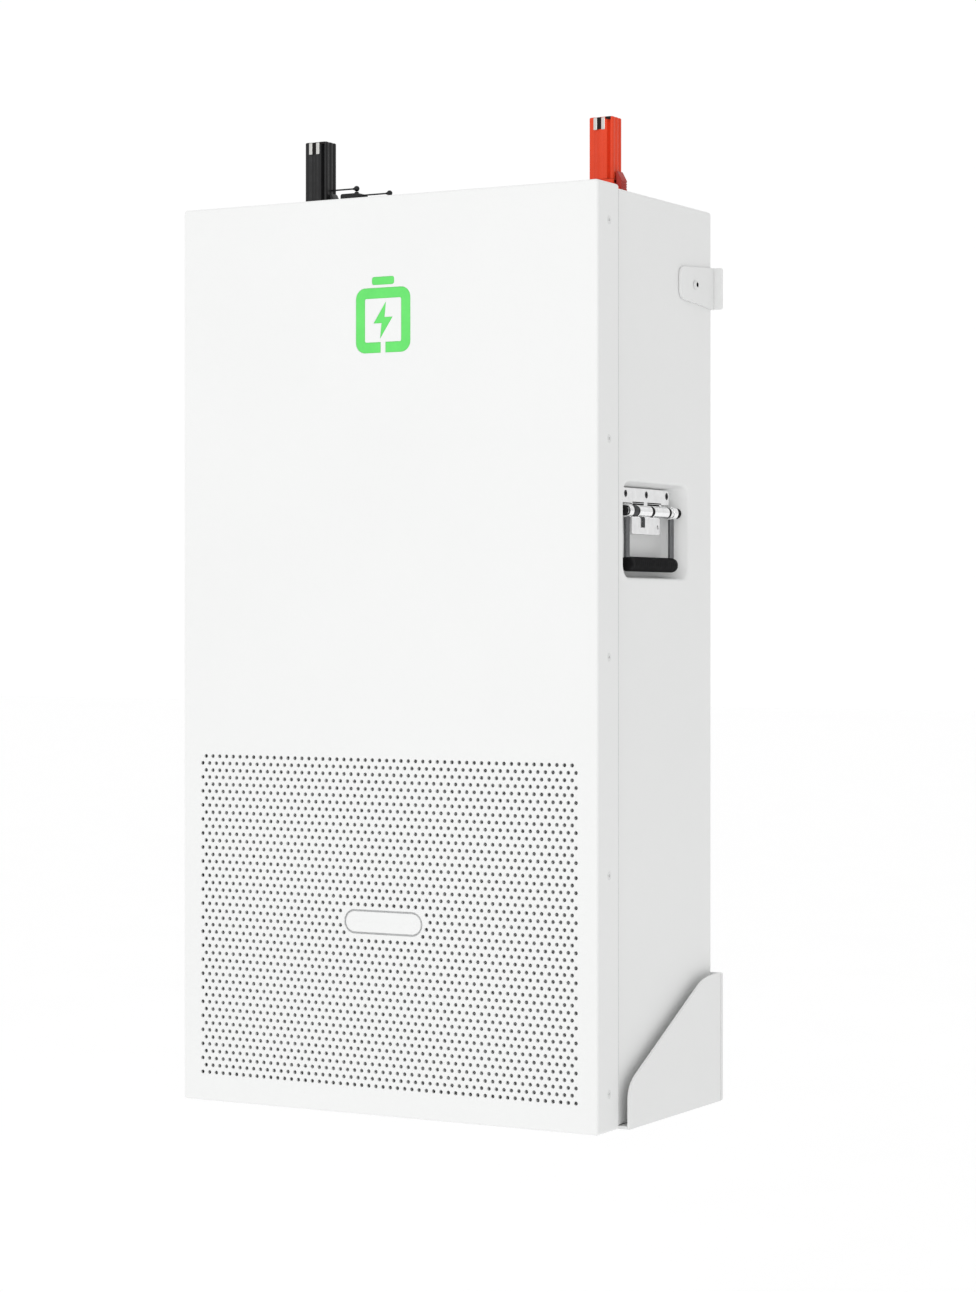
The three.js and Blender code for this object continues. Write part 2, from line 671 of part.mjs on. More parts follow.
function upperEar() {
  const [rear, front] = [plateFront - GAP, plateFront - EAR.length];
  const [high, frontHigh] = [UPPER_PLATE_HEIGHT / 2, EAR.frontHeight / 2];
  const nose = roundedOutline(front, front + 3 * EAR.corner, -frontHigh, frontHigh, EAR.corner);
  const outline = [
    ...nose.slice(2 * (ARC + 1)),
    new THREE.Vector2(rear, -high),
    new THREE.Vector2(rear, high),
  ].map((point) => new THREE.Vector2(point.x, point.y + upperCentre));
  const [x0, x1] = [caseHalf + GAP, caseHalf + GAP + EAR_SHEET];
  const hole = roundX(earScrewY, upperCentre, EAR_SCREW.shank + PIN_CLEARANCE, x0 - 1, x1 + 1);
  return cut(prismX(outline, x0, x1), hole);
}

function gusset() {
  const { length, toe, toeRun, toeRise, heelRun, heelRise } = GUSSET;
  const front = plateFront - length;
  const at = (run, rise) => new THREE.Vector2(front + run, shelfBottom + rise);
  const curve = (from, control, to) => new THREE.QuadraticBezierCurve(from, control, to).getPoints(6);
  const slope = (heelRise - toeRise) / (heelRun - toeRun);
  const crest = LOWER_PLATE_TOP - shelfBottom;
  const toeCorner = at(0, toeRise - toeRun * slope);
  const heelCorner = at(toeRun + (crest - toeRise) / slope, crest);
  const edge = [
    ...curve(at(0, toe), toeCorner, at(toeRun, toeRise)),
    ...curve(at(heelRun, heelRise), heelCorner, at(length - GUSSET.crest, crest)),
  ];
  const rear = length - GAP;
  const outline = [at(0, 0), at(rear, 0), at(rear, crest), ...edge.reverse()];
  return prismX(outline, caseHalf + GUSSET_OFFSET, caseHalf + GUSSET_OFFSET + GUSSET_SHEET);
}

function lowerShelf() {
  const half = caseHalf + GUSSET_OFFSET - GAP;
  const front = plateFront - GUSSET.length;
  return box(-half, half, front, plateFront - GAP, shelfBottom, shelfTop);
}

// ---------- power terminals, made about x = 0 ----------

function atTerminal(geometry, side) {
  return geometry.clone().translate(side * terminalX, terminalY, caseTop);
}

function receptacle() {
  const { halfX, halfY, height, collar, collarHeight, corner } = RECEPTACLE;
  const body = prismZ(roundedOutline(-halfX, halfX, -halfY, halfY, corner, 2), GAP, height);
  const rim = prismZ(
    roundedOutline(-halfX - collar, halfX, -halfY - collar, halfY + collar, corner, 2),
    height - collarHeight,
    height,
  );
  const { left, right, side, thick, corner: footCorner } = RECEPTACLE_FOOT;
  const foot = prismZ(
    roundedOutline(-halfX - left, halfX + right, -halfY - side, halfY + side, footCorner, 2), GAP, thick,
  );
  const bushing = roundZ(0, 0, BUSHING.radius, -BUSHING.depth, 2, ROUND_FINE);
  const lugs = [-1, 1].map((way) => {
    const inner = LATCH.halfWidth + GAP;
    const [y0, y1] = [way * inner, way * (inner + LATCH_LUG.thick)].sort((a, b) => a - b);
    const reach = halfX + LATCH.thick + LATCH_LUG.beyond;
    return box(halfX - 1, reach, y0, y1, LATCH_LUG.bottom, LATCH_LUG.height);
  });
  const channel = box(
    -CONTACT.width / 2 - GAP, CONTACT.width / 2 + GAP, -CONTACT.thick / 2 - GAP, CONTACT.thick / 2 + GAP,
    -BUSHING.depth - 1, height + 1,
  );
  const trunnions = latchPivot(LATCH_PIVOT.stub + PIN_CLEARANCE, 2 * LATCH_LUG.half);
  return cut(join(body, rim, foot, bushing, ...lugs), channel, trunnions);
}

function latchPivot(radius, half) {
  return roundY(latchX, LATCH_PIVOT.rise, radius, -half, half);
}

function terminalLatch() {
  const { thick, halfWidth, bottom, top, shoulder } = LATCH;
  const [x0, x1] = [latchX - thick / 2, latchX + thick / 2];
  const outline = [
    [x0 + 1.5, bottom],
    [x1 - 1, bottom],
    [x1, bottom + 6],
    [x1, shoulder],
    [x0 + 1.2, top],
    [x0, top - 1],
    [x0, LATCH_PIVOT.rise - 2],
  ].map(([x, z]) => new THREE.Vector2(x, z));
  return join(prismY(outline, -halfWidth, halfWidth), latchPivot(LATCH_PIVOT.stub, LATCH_LUG.half));
}

function terminalPost() {
  const { halfX, halfY, top, corner } = POST;
  const bottom = RECEPTACLE.height + GAP;
  const body = prismZ(roundedOutline(-halfX, halfX, -halfY, halfY, corner, 2), bottom, top);
  const flutes = [
    [halfX - DEEP_FLUTE.inset, -halfY, DEEP_FLUTE.radius],
    [-halfX + FRONT_FLUTE.inset, -halfY, FRONT_FLUTE.radius],
    ...SIDE_FLUTE.places.flatMap((y) => [
      [halfX, y, SIDE_FLUTE.radius],
      [-halfX, y, SIDE_FLUTE.radius],
    ]),
  ].map(([x, y, radius]) => roundZ(x, y, radius, bottom - 1, top + 1, 8));
  const channel = box(
    -CONTACT.width / 2 - GAP, CONTACT.width / 2 + GAP, -CONTACT.thick / 2 - GAP, CONTACT.thick / 2 + GAP,
    bottom - 1, top - PRONG.rise + GAP,
  );
  const slots = PRONG.offsets.map((x) =>
    prongBox(x, GAP, top - PRONG.rise - PRONG.overlap, top + 1, -halfY - 1),
  );
  return cut(body, ...flutes, channel, ...slots, lockPinHole(halfX, POST_PIN_RISE));
}

// A prong's box, or with a margin the slot that it lies in.
function prongBox(x, margin, z0, z1, front) {
  const half = PRONG.width / 2 + margin;
  return box(x - half, x + half, front, CONTACT.thick / 2 + margin, z0 - margin, z1);
}

function terminalContact() {
  const { width, thick, tail } = CONTACT;
  const top = POST.top - PRONG.rise;
  const bar = box(-width / 2, width / 2, -thick / 2, thick / 2, -tail, top);
  const front = -POST.halfY + PRONG.recess;
  const prongs = PRONG.offsets.map((x) =>
    prongBox(x, 0, top - PRONG.overlap, POST.top - PRONG.drop, front),
  );
  return join(bar, ...prongs);
}

// ---------- comms port and locking pins ----------

// The hole for a locking pin, in a side wall that stands at that distance from the axis.
function lockPinHole(wall, rise) {
  const { radius, engaged, slack } = LOCK_PIN;
  return roundX(0, rise, radius + PIN_CLEARANCE, wall - engaged - slack, wall + 1);
}

function lockPin(start, reach, rise) {
  const { radius, ball } = LOCK_PIN;
  const knob = new THREE.SphereGeometry(ball, 12, 8).translate(reach, 0, rise);
  return join(roundX(0, rise, radius, start, reach), knob);
}

function commsPort() {
  const { halfX, halfY, height, corner } = PORT;
  const body = prismZ(roundedOutline(-halfX, halfX, -halfY, halfY, corner, 2), GAP, height);
  const bushing = roundZ(0, 0, PORT_BUSHING.radius, -PORT_BUSHING.depth, 2, ROUND_FINE);
  const rest = roundZ(
    -terminalX + POST_PIN_REACH - portX, 0, PORT_POST, height - 1, POST_PIN_RISE - LOCK_PIN.ball - GAP,
  );
  const socket = box(
    -PORT_SOCKET.halfX, PORT_SOCKET.halfX, -halfY - 1, -halfY + PORT_SOCKET.depth,
    PORT_SOCKET.bottom, PORT_SOCKET.top,
  );
  return cut(join(body, bushing, rest), socket, lockPinHole(halfX, PORT_PIN_RISE));
}

// ---------- inside the case ----------

function cellStack() {
  const { width, depth, pitch, count, groove, column } = CELL;
  const [x0, x1] = [column, column + width];
  const seams = Array.from({ length: count - 1 }, (_, i) => {
    const rise = CELL_FLOOR + (i + 1) * pitch;
    return box(x0 - 1, x1 + 1, cellFront - 1, cellFront + groove, rise - groove / 2, rise + groove / 2);
  });
  return cut(box(x0, x1, cellFront, cellFront + depth, CELL_FLOOR, CELL_FLOOR + pitch * count), ...seams);
}

function cellCradle() {
  const { height, rim, wall } = CRADLE;
  const half = CELL.column + CELL.width + GAP;
  const [y0, y1] = [cellFront - GAP, cellFront + CELL.depth + GAP];
  const [low, high] = [caseBottom + CASE_SHEET + GAP, CELL_FLOOR - GAP];
  return cut(
    box(-half - rim, half + rim, y0 - wall, y1 + wall, low, high + height),
    box(-half, half, y0, y1, high, high + height + 1),
    box(-half + rim, half - rim, y0 + rim, y1 - rim, low - 1, high + 1),
  );
}

function managementBoard() {
  const { width, height, thick, sink, drop, shift, standoff } = BMS;
  const [top, back] = [caseTop - drop, caseBack - CASE_SHEET - standoff];
  const left = shift - width / 2;
  const plate = box(left, left + width, back, back + thick, top - height, top);
  const fins = Array.from({ length: FIN.count }, (_, i) => {
    const x = left + FIN.inset + (i * (width - 2 * FIN.inset)) / (FIN.count - 1);
    const [low, high] = [top - height + FIN.endInset, top - FIN.endInset];
    return box(x - FIN.half, x + FIN.half, back - sink, back + thick / 2, low, high);
  });
  return join(plate, ...fins);
}

function mainBreaker() {
  const { width, height, depth, shift } = BREAKER;
  const [top, back] = [caseTop - BMS.drop, caseBack - CASE_SHEET - BMS.standoff];
  const [front, middle] = [back - depth, top - height / 2];
  return join(
    box(shift - width / 2, shift + width / 2, front, back, top - height, top),
    box(
      shift - LEVER.half, shift + LEVER.half, front - LEVER.reach, front + 1,
      middle - LEVER.halfHeight, middle + LEVER.halfHeight,
    ),
  );
}

// ---------- materials ----------

const finish = (color, roughness, metalness) =>
  new THREE.MeshStandardMaterial({ color, roughness, metalness });

const FINISH = {
  whitePaint: finish(0xf4f5f4, 0.5, 0),
  darkFoam: finish(0x2b2d2e, 0.9, 0),
  greenLens: finish(0x4fe05c, 0.3, 0),
  board: finish(0x1f5c38, 0.6, 0),
  filterMesh: finish(0x8d9194, 0.8, 0),
  whiteScrew: finish(0xe6e7e6, 0.4, 0.4),
  darkSteel: finish(0x2e3032, 0.4, 0.8),
  chrome: finish(0xd8dadc, 0.15, 1),
  springSteel: finish(0x55585a, 0.35, 1),
  blackRubber: finish(0x111213, 0.8, 0),
  blackPlastic: finish(0x1b1c1e, 0.45, 0),
  redPlastic: finish(0xd8452b, 0.45, 0),
  darkRedPlastic: finish(0xa83220, 0.5, 0),
  tinnedCopper: finish(0xcfd0cc, 0.3, 1),
  cellCase: finish(0x3b6fa5, 0.4, 0.2),
  greyPlastic: finish(0x6d7174, 0.6, 0),
};

// ---------- assembly ----------

const unit = new THREE.Group();
unit.position.z = -upperCentre;

function add(name, geometry, material) {
  const mesh = new THREE.Mesh(geometry, material);
  mesh.name = name;
  unit.add(mesh);
}

function addPair(name, geometry, material) {
  add(`${name}_right`, geometry, material);
  add(`${name}_left`, mirrored(geometry), material);
}

add("rear_case", rearCase(), FINISH.whitePaint);
add("front_cover", frontCover(), FINISH.whitePaint);
add("cover_gasket", coverGasket(), FINISH.darkFoam);
add("status_light_lens", statusLightLens(), FINISH.greenLens);
add("status_light_board", statusLightBoard(), FINISH.board);
add("name_badge", nameBadge(), FINISH.whitePaint);
add("dust_filter", dustFilter(), FINISH.filterMesh);

coverScrewRises.forEach((rise, i) => {
  const fastener = screw(COVER_SCREW).translate(coverHalf, coverFront + COVER_SCREW_INSET, rise);
  add(`cover_screw_right_${i + 1}`, fastener, FINISH.whiteScrew);
  add(`cover_screw_left_${i + 1}`, mirrored(fastener), FINISH.whiteScrew);
});

addPair("handle_pocket", handlePocket(), FINISH.whitePaint);
addPair("hinge_plate", hingePlate(), FINISH.chrome);
addPair("handle_pin", handlePin(), FINISH.chrome);
addPair("handle_bail", handleBail(), FINISH.chrome);
addPair("handle_grip", handleGrip(), FINISH.blackRubber);
addPair("handle_spring", handleSpring(), FINISH.springSteel);
for (const [spot, shift] of Object.entries(leafScrewSpots)) {
  addPair(`hinge_screw_${spot}`, atLeafScrew(screw(LEAF_SCREW), shift), FINISH.darkSteel);
}

add("upper_wall_plate", wallPlate(
  upperCentre - UPPER_PLATE_HEIGHT / 2, upperCentre + UPPER_PLATE_HEIGHT / 2, upperCentre,
), FINISH.whitePaint);
addPair("upper_ear", upperEar(), FINISH.whitePaint);
addPair(
  "ear_screw",
  screw(EAR_SCREW, true).translate(caseHalf + GAP + EAR_SHEET + GAP, earScrewY, upperCentre),
  FINISH.whiteScrew,
);
add(
  "lower_wall_plate",
  wallPlate(shelfBottom, LOWER_PLATE_TOP, LOWER_PLATE_TOP - LOWER_HOLES_DROP),
  FINISH.whitePaint,
);
add("lower_shelf", lowerShelf(), FINISH.whitePaint);
addPair("gusset", gusset(), FINISH.whitePaint);

for (const [pole, side, body, latch] of [
  ["negative", -1, FINISH.blackPlastic, FINISH.blackPlastic],
  ["positive", 1, FINISH.redPlastic, FINISH.darkRedPlastic],
]) {
  add(`receptacle_${pole}`, atTerminal(receptacle(), side), body);
  add(`terminal_post_${pole}`, atTerminal(terminalPost(), side), body);
  add(`terminal_contact_${pole}`, atTerminal(terminalContact(), side), FINISH.tinnedCopper);
  add(`terminal_latch_${pole}`, atTerminal(terminalLatch(), side), latch);
}
add(
  "post_lock_pin",
  atTerminal(lockPin(POST.halfX - LOCK_PIN.engaged, POST_PIN_REACH, POST_PIN_RISE), -1),
  FINISH.darkSteel,
);
add("comms_port", commsPort().translate(portX, terminalY, caseTop), FINISH.blackPlastic);
add(
  "port_lock_pin",
  lockPin(PORT.halfX - LOCK_PIN.engaged, PORT_PIN_REACH, PORT_PIN_RISE).translate(portX, terminalY, caseTop),
  FINISH.darkSteel,
);

addPair("cell_stack", cellStack(), FINISH.cellCase);
add("cell_cradle", cellCradle(), FINISH.greyPlastic);
add("management_board", managementBoard(), FINISH.board);
add("main_breaker", mainBreaker(), FINISH.greyPlastic);

const battery = new THREE.Group();
battery.add(unit);
export default battery;
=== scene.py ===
import math

import bmesh
import bpy
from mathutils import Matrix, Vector
from mathutils.geometry import delaunay_2d_cdt


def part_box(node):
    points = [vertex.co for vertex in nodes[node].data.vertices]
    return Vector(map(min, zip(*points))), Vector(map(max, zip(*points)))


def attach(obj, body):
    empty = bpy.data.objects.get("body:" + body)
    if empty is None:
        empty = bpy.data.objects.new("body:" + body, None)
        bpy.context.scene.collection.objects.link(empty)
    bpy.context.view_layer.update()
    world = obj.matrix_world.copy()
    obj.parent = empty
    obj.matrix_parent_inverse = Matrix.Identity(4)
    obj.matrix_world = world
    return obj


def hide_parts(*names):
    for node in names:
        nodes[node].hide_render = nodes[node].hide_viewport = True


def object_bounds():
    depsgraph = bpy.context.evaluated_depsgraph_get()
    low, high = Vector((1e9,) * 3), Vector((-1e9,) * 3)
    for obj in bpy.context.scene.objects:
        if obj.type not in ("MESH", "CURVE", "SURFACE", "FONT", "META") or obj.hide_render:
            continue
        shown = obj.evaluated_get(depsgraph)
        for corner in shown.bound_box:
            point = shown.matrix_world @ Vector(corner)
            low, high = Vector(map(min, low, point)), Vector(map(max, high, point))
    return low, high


# The looks of a wall battery unit: a powder-coated case with a perforated front cover, a lit
# pictogram, two recessed folding handles, two power terminals and a comms port on top.
# Metres, in the CAD model's frame: X across, Y towards the wall, Z up.

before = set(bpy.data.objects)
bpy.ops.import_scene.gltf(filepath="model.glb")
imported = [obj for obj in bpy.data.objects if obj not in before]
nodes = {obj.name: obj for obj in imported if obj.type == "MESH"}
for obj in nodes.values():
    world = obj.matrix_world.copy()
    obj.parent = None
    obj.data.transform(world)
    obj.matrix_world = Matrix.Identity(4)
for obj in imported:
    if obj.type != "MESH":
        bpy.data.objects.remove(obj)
cad_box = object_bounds()

# ---------- sizes ----------

SHEET = 0.002  # cover and case
FOLD = 0.0026  # outer radius of a folded edge
INNER_FOLD = 0.0006
CORNER = 0.0032  # radius where three faces meet
SOFT = 0.0003  # broken edge of a cut sheet
FIT = 0.0003  # air between pieces that touch
SMOOTH_ANGLE = math.radians(38)  # steeper edges are shaded sharp

# Perforated field in the cover
HOLE_RADIUS = 0.00192
HOLE_PITCH = 0.008
HOLE_ROWS = 46
HOLES_IN_FULL_ROW = 53
FIELD_RISE = 0.0283  # first row above the cover's bottom edge
HOLE_SIDES = 12
HOLE_EDGE = 0.00025
BADGE_CLEAR = 0.003  # least space from a hole's centre to the badge's groove

# Lit pictogram and badge
LENS_MARGIN = 0.006  # back plate beyond the pictogram
LIGHT_STROKE = 0.0095
LIGHT_CORNER = 0.010
LIGHT_BRIDGE = 0.006
NUB = {"width": 0.024, "height": 0.007, "space": 0.0035}
BOLT = {"half_width": 0.010, "half_height": 0.017, "waist": 0.0025, "foot": 0.003}
BADGE_GROOVE = 0.0018
BADGE_FLANGE = 0.0012

# Screws: head radius, head height, shank radius, length
COVER_SCREW = (0.0039, 0.0019, 0.002, 0.009)
LEAF_SCREW = (0.003, 0.0016, 0.0017, 0.008)

# Case
RIM = 0.014
BACK_PANEL_INSET = 0.034
BACK_PANEL_DEPTH = 0.0012
# painted shade: size of the grey bead that stands for the shadow behind the cover flange's step
STEP_SHADE_SIZE = {"width": 0.0011, "sunk": 0.0002, "below": 0.0001}

# Handle
POCKET = {"depth": 0.022, "ends": 0.015, "bottom": 0.003, "top": 0.006, "corner": 0.013}
POCKET_SHEET = 0.0015
POCKET_MOUTH = 0.0022  # roll at the pocket's mouth
POCKET_FILLET = 0.0045  # round between its walls and floor
POCKET_LIP = 0.010
LEAF = {"thick": 0.002, "half": 0.051, "height": 0.0145, "corner": 0.003}
LOWER_LEAF = {"front": -0.029, "rear": 0.031, "drop": 0.0217}
KNUCKLE = {"radius": 0.00575, "front": -0.029, "rear": 0.034, "split": 0.003}
BUSH_END = 0.0396  # rear end of the black bush behind the rear knuckle
BUSH_RADIUS = 0.0053
COLLAR_RADIUS = 0.005
LEAF_SCREW_PITCH = 0.044
LEAF_SCREW_SHIFT = 0.002
LEAF_SCREW_RISE = 0.0088
PIN = {"radius": 0.003, "head": 0.0044, "head_length": 0.009, "inset": 0.002}
BAIL = {"arm": 0.0475, "radius": 0.0029, "drop": 0.0505, "bend": 0.009, "eye": 0.0065, "width": 0.008}
GRIP = {"half": 0.053, "width": 0.014, "height": 0.014, "corner": 0.0065, "rib": 0.004, "cut": 0.0003}
SPRING = {"wire": 0.001, "radius": 0.0046, "turns": 4.5, "pitch": 0.0021}
SPRING_TAIL = {"run": 0.0245, "top": 0.0052, "end": 0.0148, "stand": 0.0026}

# Terminals, about each one's axis, with heights above the case's top
POST = {"half_x": 0.013, "half_y": 0.010, "corner": 0.0022, "bottom": 0.0233, "top": 0.084}
RECEPTACLE = {"half_x": 0.014, "half_y": 0.011, "height": 0.023, "collar": 0.0012, "collar_height": 0.004}
PRONG = {"width": 0.004, "rise": 0.0125, "offsets": (-0.006, 0.0025)}
LATCH = {"thick": 0.006, "half": 0.006, "bottom": 0.004, "top": 0.031, "pivot": 0.011, "stub": 0.0015}
LATCH_LUG = {"thick": 0.0026, "height": 0.016}
LOCK_PIN = {"radius": 0.0008, "ball": 0.0029}
BUSHING_HOLE = 0.0113
PORT = {"height": 0.0292, "socket": 0.008, "socket_end": 0.001, "bushing": 0.007}


# ---------- shaders ----------


class Surface:
    """A Principled material with its colour, roughness and relief from patterns in the model's space."""

    def __init__(self, name, color, roughness, **sockets):
        self.material = bpy.data.materials.new(name)
        self.material.use_nodes = True
        self.tree = self.material.node_tree
        self.shader = self.tree.nodes["Principled BSDF"]
        self.color = color
        self.shader.inputs["Base Color"].default_value = (*color, 1)
        self.shader.inputs["Roughness"].default_value = roughness
        self.roughness = roughness
        for socket, value in sockets.items():
            self.shader.inputs[socket.replace("_", " ")].default_value = value
        self.place = self.tree.nodes.new("ShaderNodeTexCoord").outputs["Object"]
        self.normal = None

    def node(self, kind, links=(), **settings):
        made = self.tree.nodes.new(kind)
        for name, value in settings.items():
            if name in made.inputs:
                made.inputs[name].default_value = value
            else:
                setattr(made, name, value)
        for socket, source in dict(links).items():
            self.tree.links.new(source, made.inputs[socket])
        return made

    def stretched(self, stretch):
        if stretch == (1, 1, 1):
            return self.place
        return self.node("ShaderNodeMapping", {"Vector": self.place}, Scale=stretch).outputs["Vector"]

    def noise(self, scale, detail=2.0, stretch=(1, 1, 1)):
        links = {"Vector": self.stretched(stretch)}
        return self.node("ShaderNodeTexNoise", links, Scale=scale, Detail=detail).outputs["Fac"]

    def cells(self, scale, feature="F1", stretch=(1, 1, 1)):
        links = {"Vector": self.stretched(stretch)}
        return self.node("ShaderNodeTexVoronoi", links, feature=feature, Scale=scale).outputs["Distance"]

    def bands(self, scale, direction="X", distortion=0.0, profile="SIN"):
        settings = {"bands_direction": direction, "Scale": scale, "Distortion": distortion}
        links = {"Vector": self.place}
        return self.node("ShaderNodeTexWave", links, wave_profile=profile, **settings).outputs["Fac"]

    def spread(self, source, low, high, least=0.3, most=0.7):
        settings = {"From Min": least, "From Max": most, "To Min": low, "To Max": high}
        return self.node("ShaderNodeMapRange", {"Value": source}, **settings).outputs["Result"]

    def product(self, a, b):
        return self.node("ShaderNodeMath", {0: a, 1: b}, operation="MULTIPLY").outputs["Value"]

    def mottle(self, pattern, other, least=0.3, most=0.7):
        """Blends the colour so far towards another one where the pattern is high."""
        mix = self.node("ShaderNodeMix", data_type="RGBA")
        factor, first, second = mix.inputs[0], mix.inputs[6], mix.inputs[7]
        self.tree.links.new(self.spread(pattern, 0, 1, least, most), factor)
        current = self.shader.inputs["Base Color"]
        if current.is_linked:
            self.tree.links.new(current.links[0].from_socket, first)
        else:
            first.default_value = (*self.color, 1)
        second.default_value = (*other, 1)
        self.tree.links.new(mix.outputs[2], current)
        return self

    def polish(self, pattern, spread):
        """Varies the roughness by plus or minus spread."""
        source = self.spread(pattern, self.roughness - spread, self.roughness + spread)
        self.tree.links.new(source, self.shader.inputs["Roughness"])
        return self

    def relief(self, pattern, depth, strength=1.0):
        """Adds relief of that depth in metres."""
        bump = self.node("ShaderNodeBump", {"Height": pattern}, Distance=depth, Strength=strength)
        if self.normal:
            self.tree.links.new(self.normal, bump.inputs["Normal"])
        self.normal = bump.outputs["Normal"]
        self.tree.links.new(self.normal, self.shader.inputs["Normal"])
        return self


def shade(color, factor):
    return tuple(min(1.0, part * factor) for part in color)


def powder_coat(name, color, roughness, peel):
    """Sprayed powder: orange peel, a fine grain and a trace of thickness variation."""
    paint = Surface(name, color, roughness)
    paint.mottle(paint.noise(7, 2), shade(color, 0.985))
    paint.mottle(paint.noise(1400, 1), shade(color, 0.978), 0.45, 0.8)
    paint.polish(paint.noise(45, 3), 0.05)
    paint.relief(paint.noise(peel, 2), 0.00005, 0.5)
    paint.relief(paint.noise(2600, 1), 0.00002, 0.5)
    return paint.material


def moulded(name, color, roughness, specular=0.5):
    """Injection-moulded plastic with an eroded grain and faint flow lines."""
    plastic = Surface(name, color, roughness, Specular_IOR_Level=specular)
    plastic.mottle(plastic.noise(60, 3, (1, 1, 0.25)), shade(color, 1.18))
    plastic.mottle(plastic.noise(2200, 1), shade(color, 0.8), 0.5, 0.85)
    plastic.polish(plastic.noise(160, 3), 0.07)
    plastic.relief(plastic.cells(1900), 0.00004, 0.6)
    return plastic.material


def plated(name, color, roughness, stretch=(1, 0.06, 1), spread=0.06):
    """Bright metal with drawing marks along it and a slight bloom."""
    metal = Surface(name, color, roughness, Metallic=1.0)
    metal.mottle(metal.noise(120, 3), shade(color, 0.88))
    metal.mottle(metal.noise(2400, 2, stretch), shade(color, 0.93), 0.4, 0.8)
    metal.polish(metal.noise(900, 3, stretch), spread)
    metal.relief(metal.noise(3000, 2, stretch), 0.00001, 0.5)
    return metal.material


def dark_metal(name, color, roughness):
    """Blackened steel: matt film, thin where it has been handled."""
    metal = Surface(name, color, roughness, Metallic=0.85)
    metal.mottle(metal.noise(500, 4), shade(color, 1.7), 0.5, 0.8)
    metal.polish(metal.noise(700, 3), 0.1)
    metal.relief(metal.noise(2600, 2), 0.00003, 0.5)
    return metal.material


def lit_lens():
    """A diffusing acrylic lens over a row of lamps, its glow a little brighter in soft, scattered patches."""
    color = (0.07, 0.43, 0.078)
    lens = Surface("lit_green_acrylic", color, 0.32, Emission_Strength=0.5)
    lens.shader.inputs["Emission Color"].default_value = (*color, 1)
    glow = lens.node("ShaderNodeMix", data_type="RGBA")
    lens.tree.links.new(lens.spread(lens.cells(62, "SMOOTH_F1"), 0, 1, 0.1, 0.8), glow.inputs[0])
    glow.inputs[6].default_value = (0.135, 0.71, 0.145, 1)
    glow.inputs[7].default_value = (0.095, 0.60, 0.11, 1)
    lens.tree.links.new(glow.outputs[2], lens.shader.inputs["Emission Color"])
    lens.mottle(lens.noise(300, 2), shade(color, 0.93))
    lens.polish(lens.noise(90, 2), 0.04)
    lens.relief(lens.noise(1500, 2), 0.00002, 0.4)
    return lens.material


def foam():
    seal = Surface("closed_cell_foam", (0.024, 0.026, 0.028), 0.9)
    seal.mottle(seal.cells(900), (0.05, 0.053, 0.056), 0.1, 0.5)
    seal.polish(seal.noise(300, 3), 0.06)
    seal.relief(seal.cells(1100), 0.0002, 0.8)
    return seal.material


def filter_cloth():
    """Woven filter mesh: threads both ways over a soft backing."""
    cloth = Surface("woven_filter_mesh", (0.62, 0.625, 0.63), 0.85)
    weave = cloth.product(cloth.bands(330, "X"), cloth.bands(330, "Z"))
    cloth.mottle(weave, (0.78, 0.785, 0.79), 0.05, 0.8)
    cloth.mottle(cloth.noise(40, 3), (0.58, 0.585, 0.59), 0.4, 0.8)
    cloth.polish(cloth.noise(220, 3), 0.08)
    cloth.relief(weave, 0.0003, 0.7)
    return cloth.material


def rubber():
    grip = Surface("ribbed_rubber", (0.005, 0.005, 0.0055), 0.6, Specular_IOR_Level=0.07)
    grip.mottle(grip.noise(180, 3), (0.008, 0.008, 0.0085), 0.4, 0.75)
    grip.polish(grip.noise(400, 3), 0.09)
    grip.relief(grip.cells(1500), 0.00006, 0.7)
    return grip.material


def solder_mask():
    """Green board lacquer over copper tracks."""
    board = Surface("solder_mask", (0.008, 0.075, 0.032), 0.35)
    tracks = board.product(board.bands(62, "X", 3.0, "SAW"), board.bands(48, "Z", 2.0, "TRI"))
    board.mottle(tracks, (0.02, 0.15, 0.06), 0.42, 0.46)
    board.mottle(board.noise(30, 2), (0.006, 0.06, 0.026), 0.4, 0.7)
    board.polish(board.noise(350, 2), 0.08)
    board.relief(tracks, 0.00004, 0.5)
    return board.material


def cell_wrap():
    """Blue heat-shrunk film over aluminium cells, with faint shrink wrinkles."""
    wrap = Surface("blue_cell_film", (0.03, 0.115, 0.28), 0.33, Coat_Weight=0.3)
    wrap.mottle(wrap.noise(14, 3, (1, 1, 0.3)), (0.036, 0.135, 0.32))
    wrap.mottle(wrap.noise(900, 2), (0.025, 0.1, 0.25), 0.5, 0.8)
    wrap.polish(wrap.noise(60, 3), 0.07)
    wrap.relief(wrap.noise(70, 3, (1, 1, 0.2)), 0.0004, 0.35)
    return wrap.material


WHITE = (0.83, 0.835, 0.83)
POWDER = powder_coat("white_powder_coat", WHITE, 0.46, 420)
BRACKET = powder_coat("bracket_powder_coat", shade(WHITE, 0.985), 0.5, 380)
PRESSED = powder_coat("pocket_powder_coat", WHITE, 0.48, 420)
PAINTED_SCREW = powder_coat("painted_screw", shade(WHITE, 0.9), 0.4, 900)
FOAM = foam()
LENS = lit_lens()
BOARD = solder_mask()
FILTER = filter_cloth()
BLACK_STEEL = dark_metal("black_oxide_steel", (0.028, 0.029, 0.031), 0.4)
NICKEL = plated("bright_nickel", (0.96, 0.962, 0.965), 0.2)
ROD_STEEL = plated("drawn_rod", (0.17, 0.173, 0.178), 0.3, (1, 1, 0.06))
SPRING_WIRE = plated("spring_wire", (0.075, 0.077, 0.08), 0.32, (0.3, 0.3, 0.3))
TIN = plated("tinned_copper", (0.66, 0.655, 0.63), 0.3, (1, 1, 0.08), 0.09)
RUBBER = rubber()
BLACK_PLASTIC = moulded("black_moulding", (0.008, 0.0082, 0.0088), 0.36, 0.3)
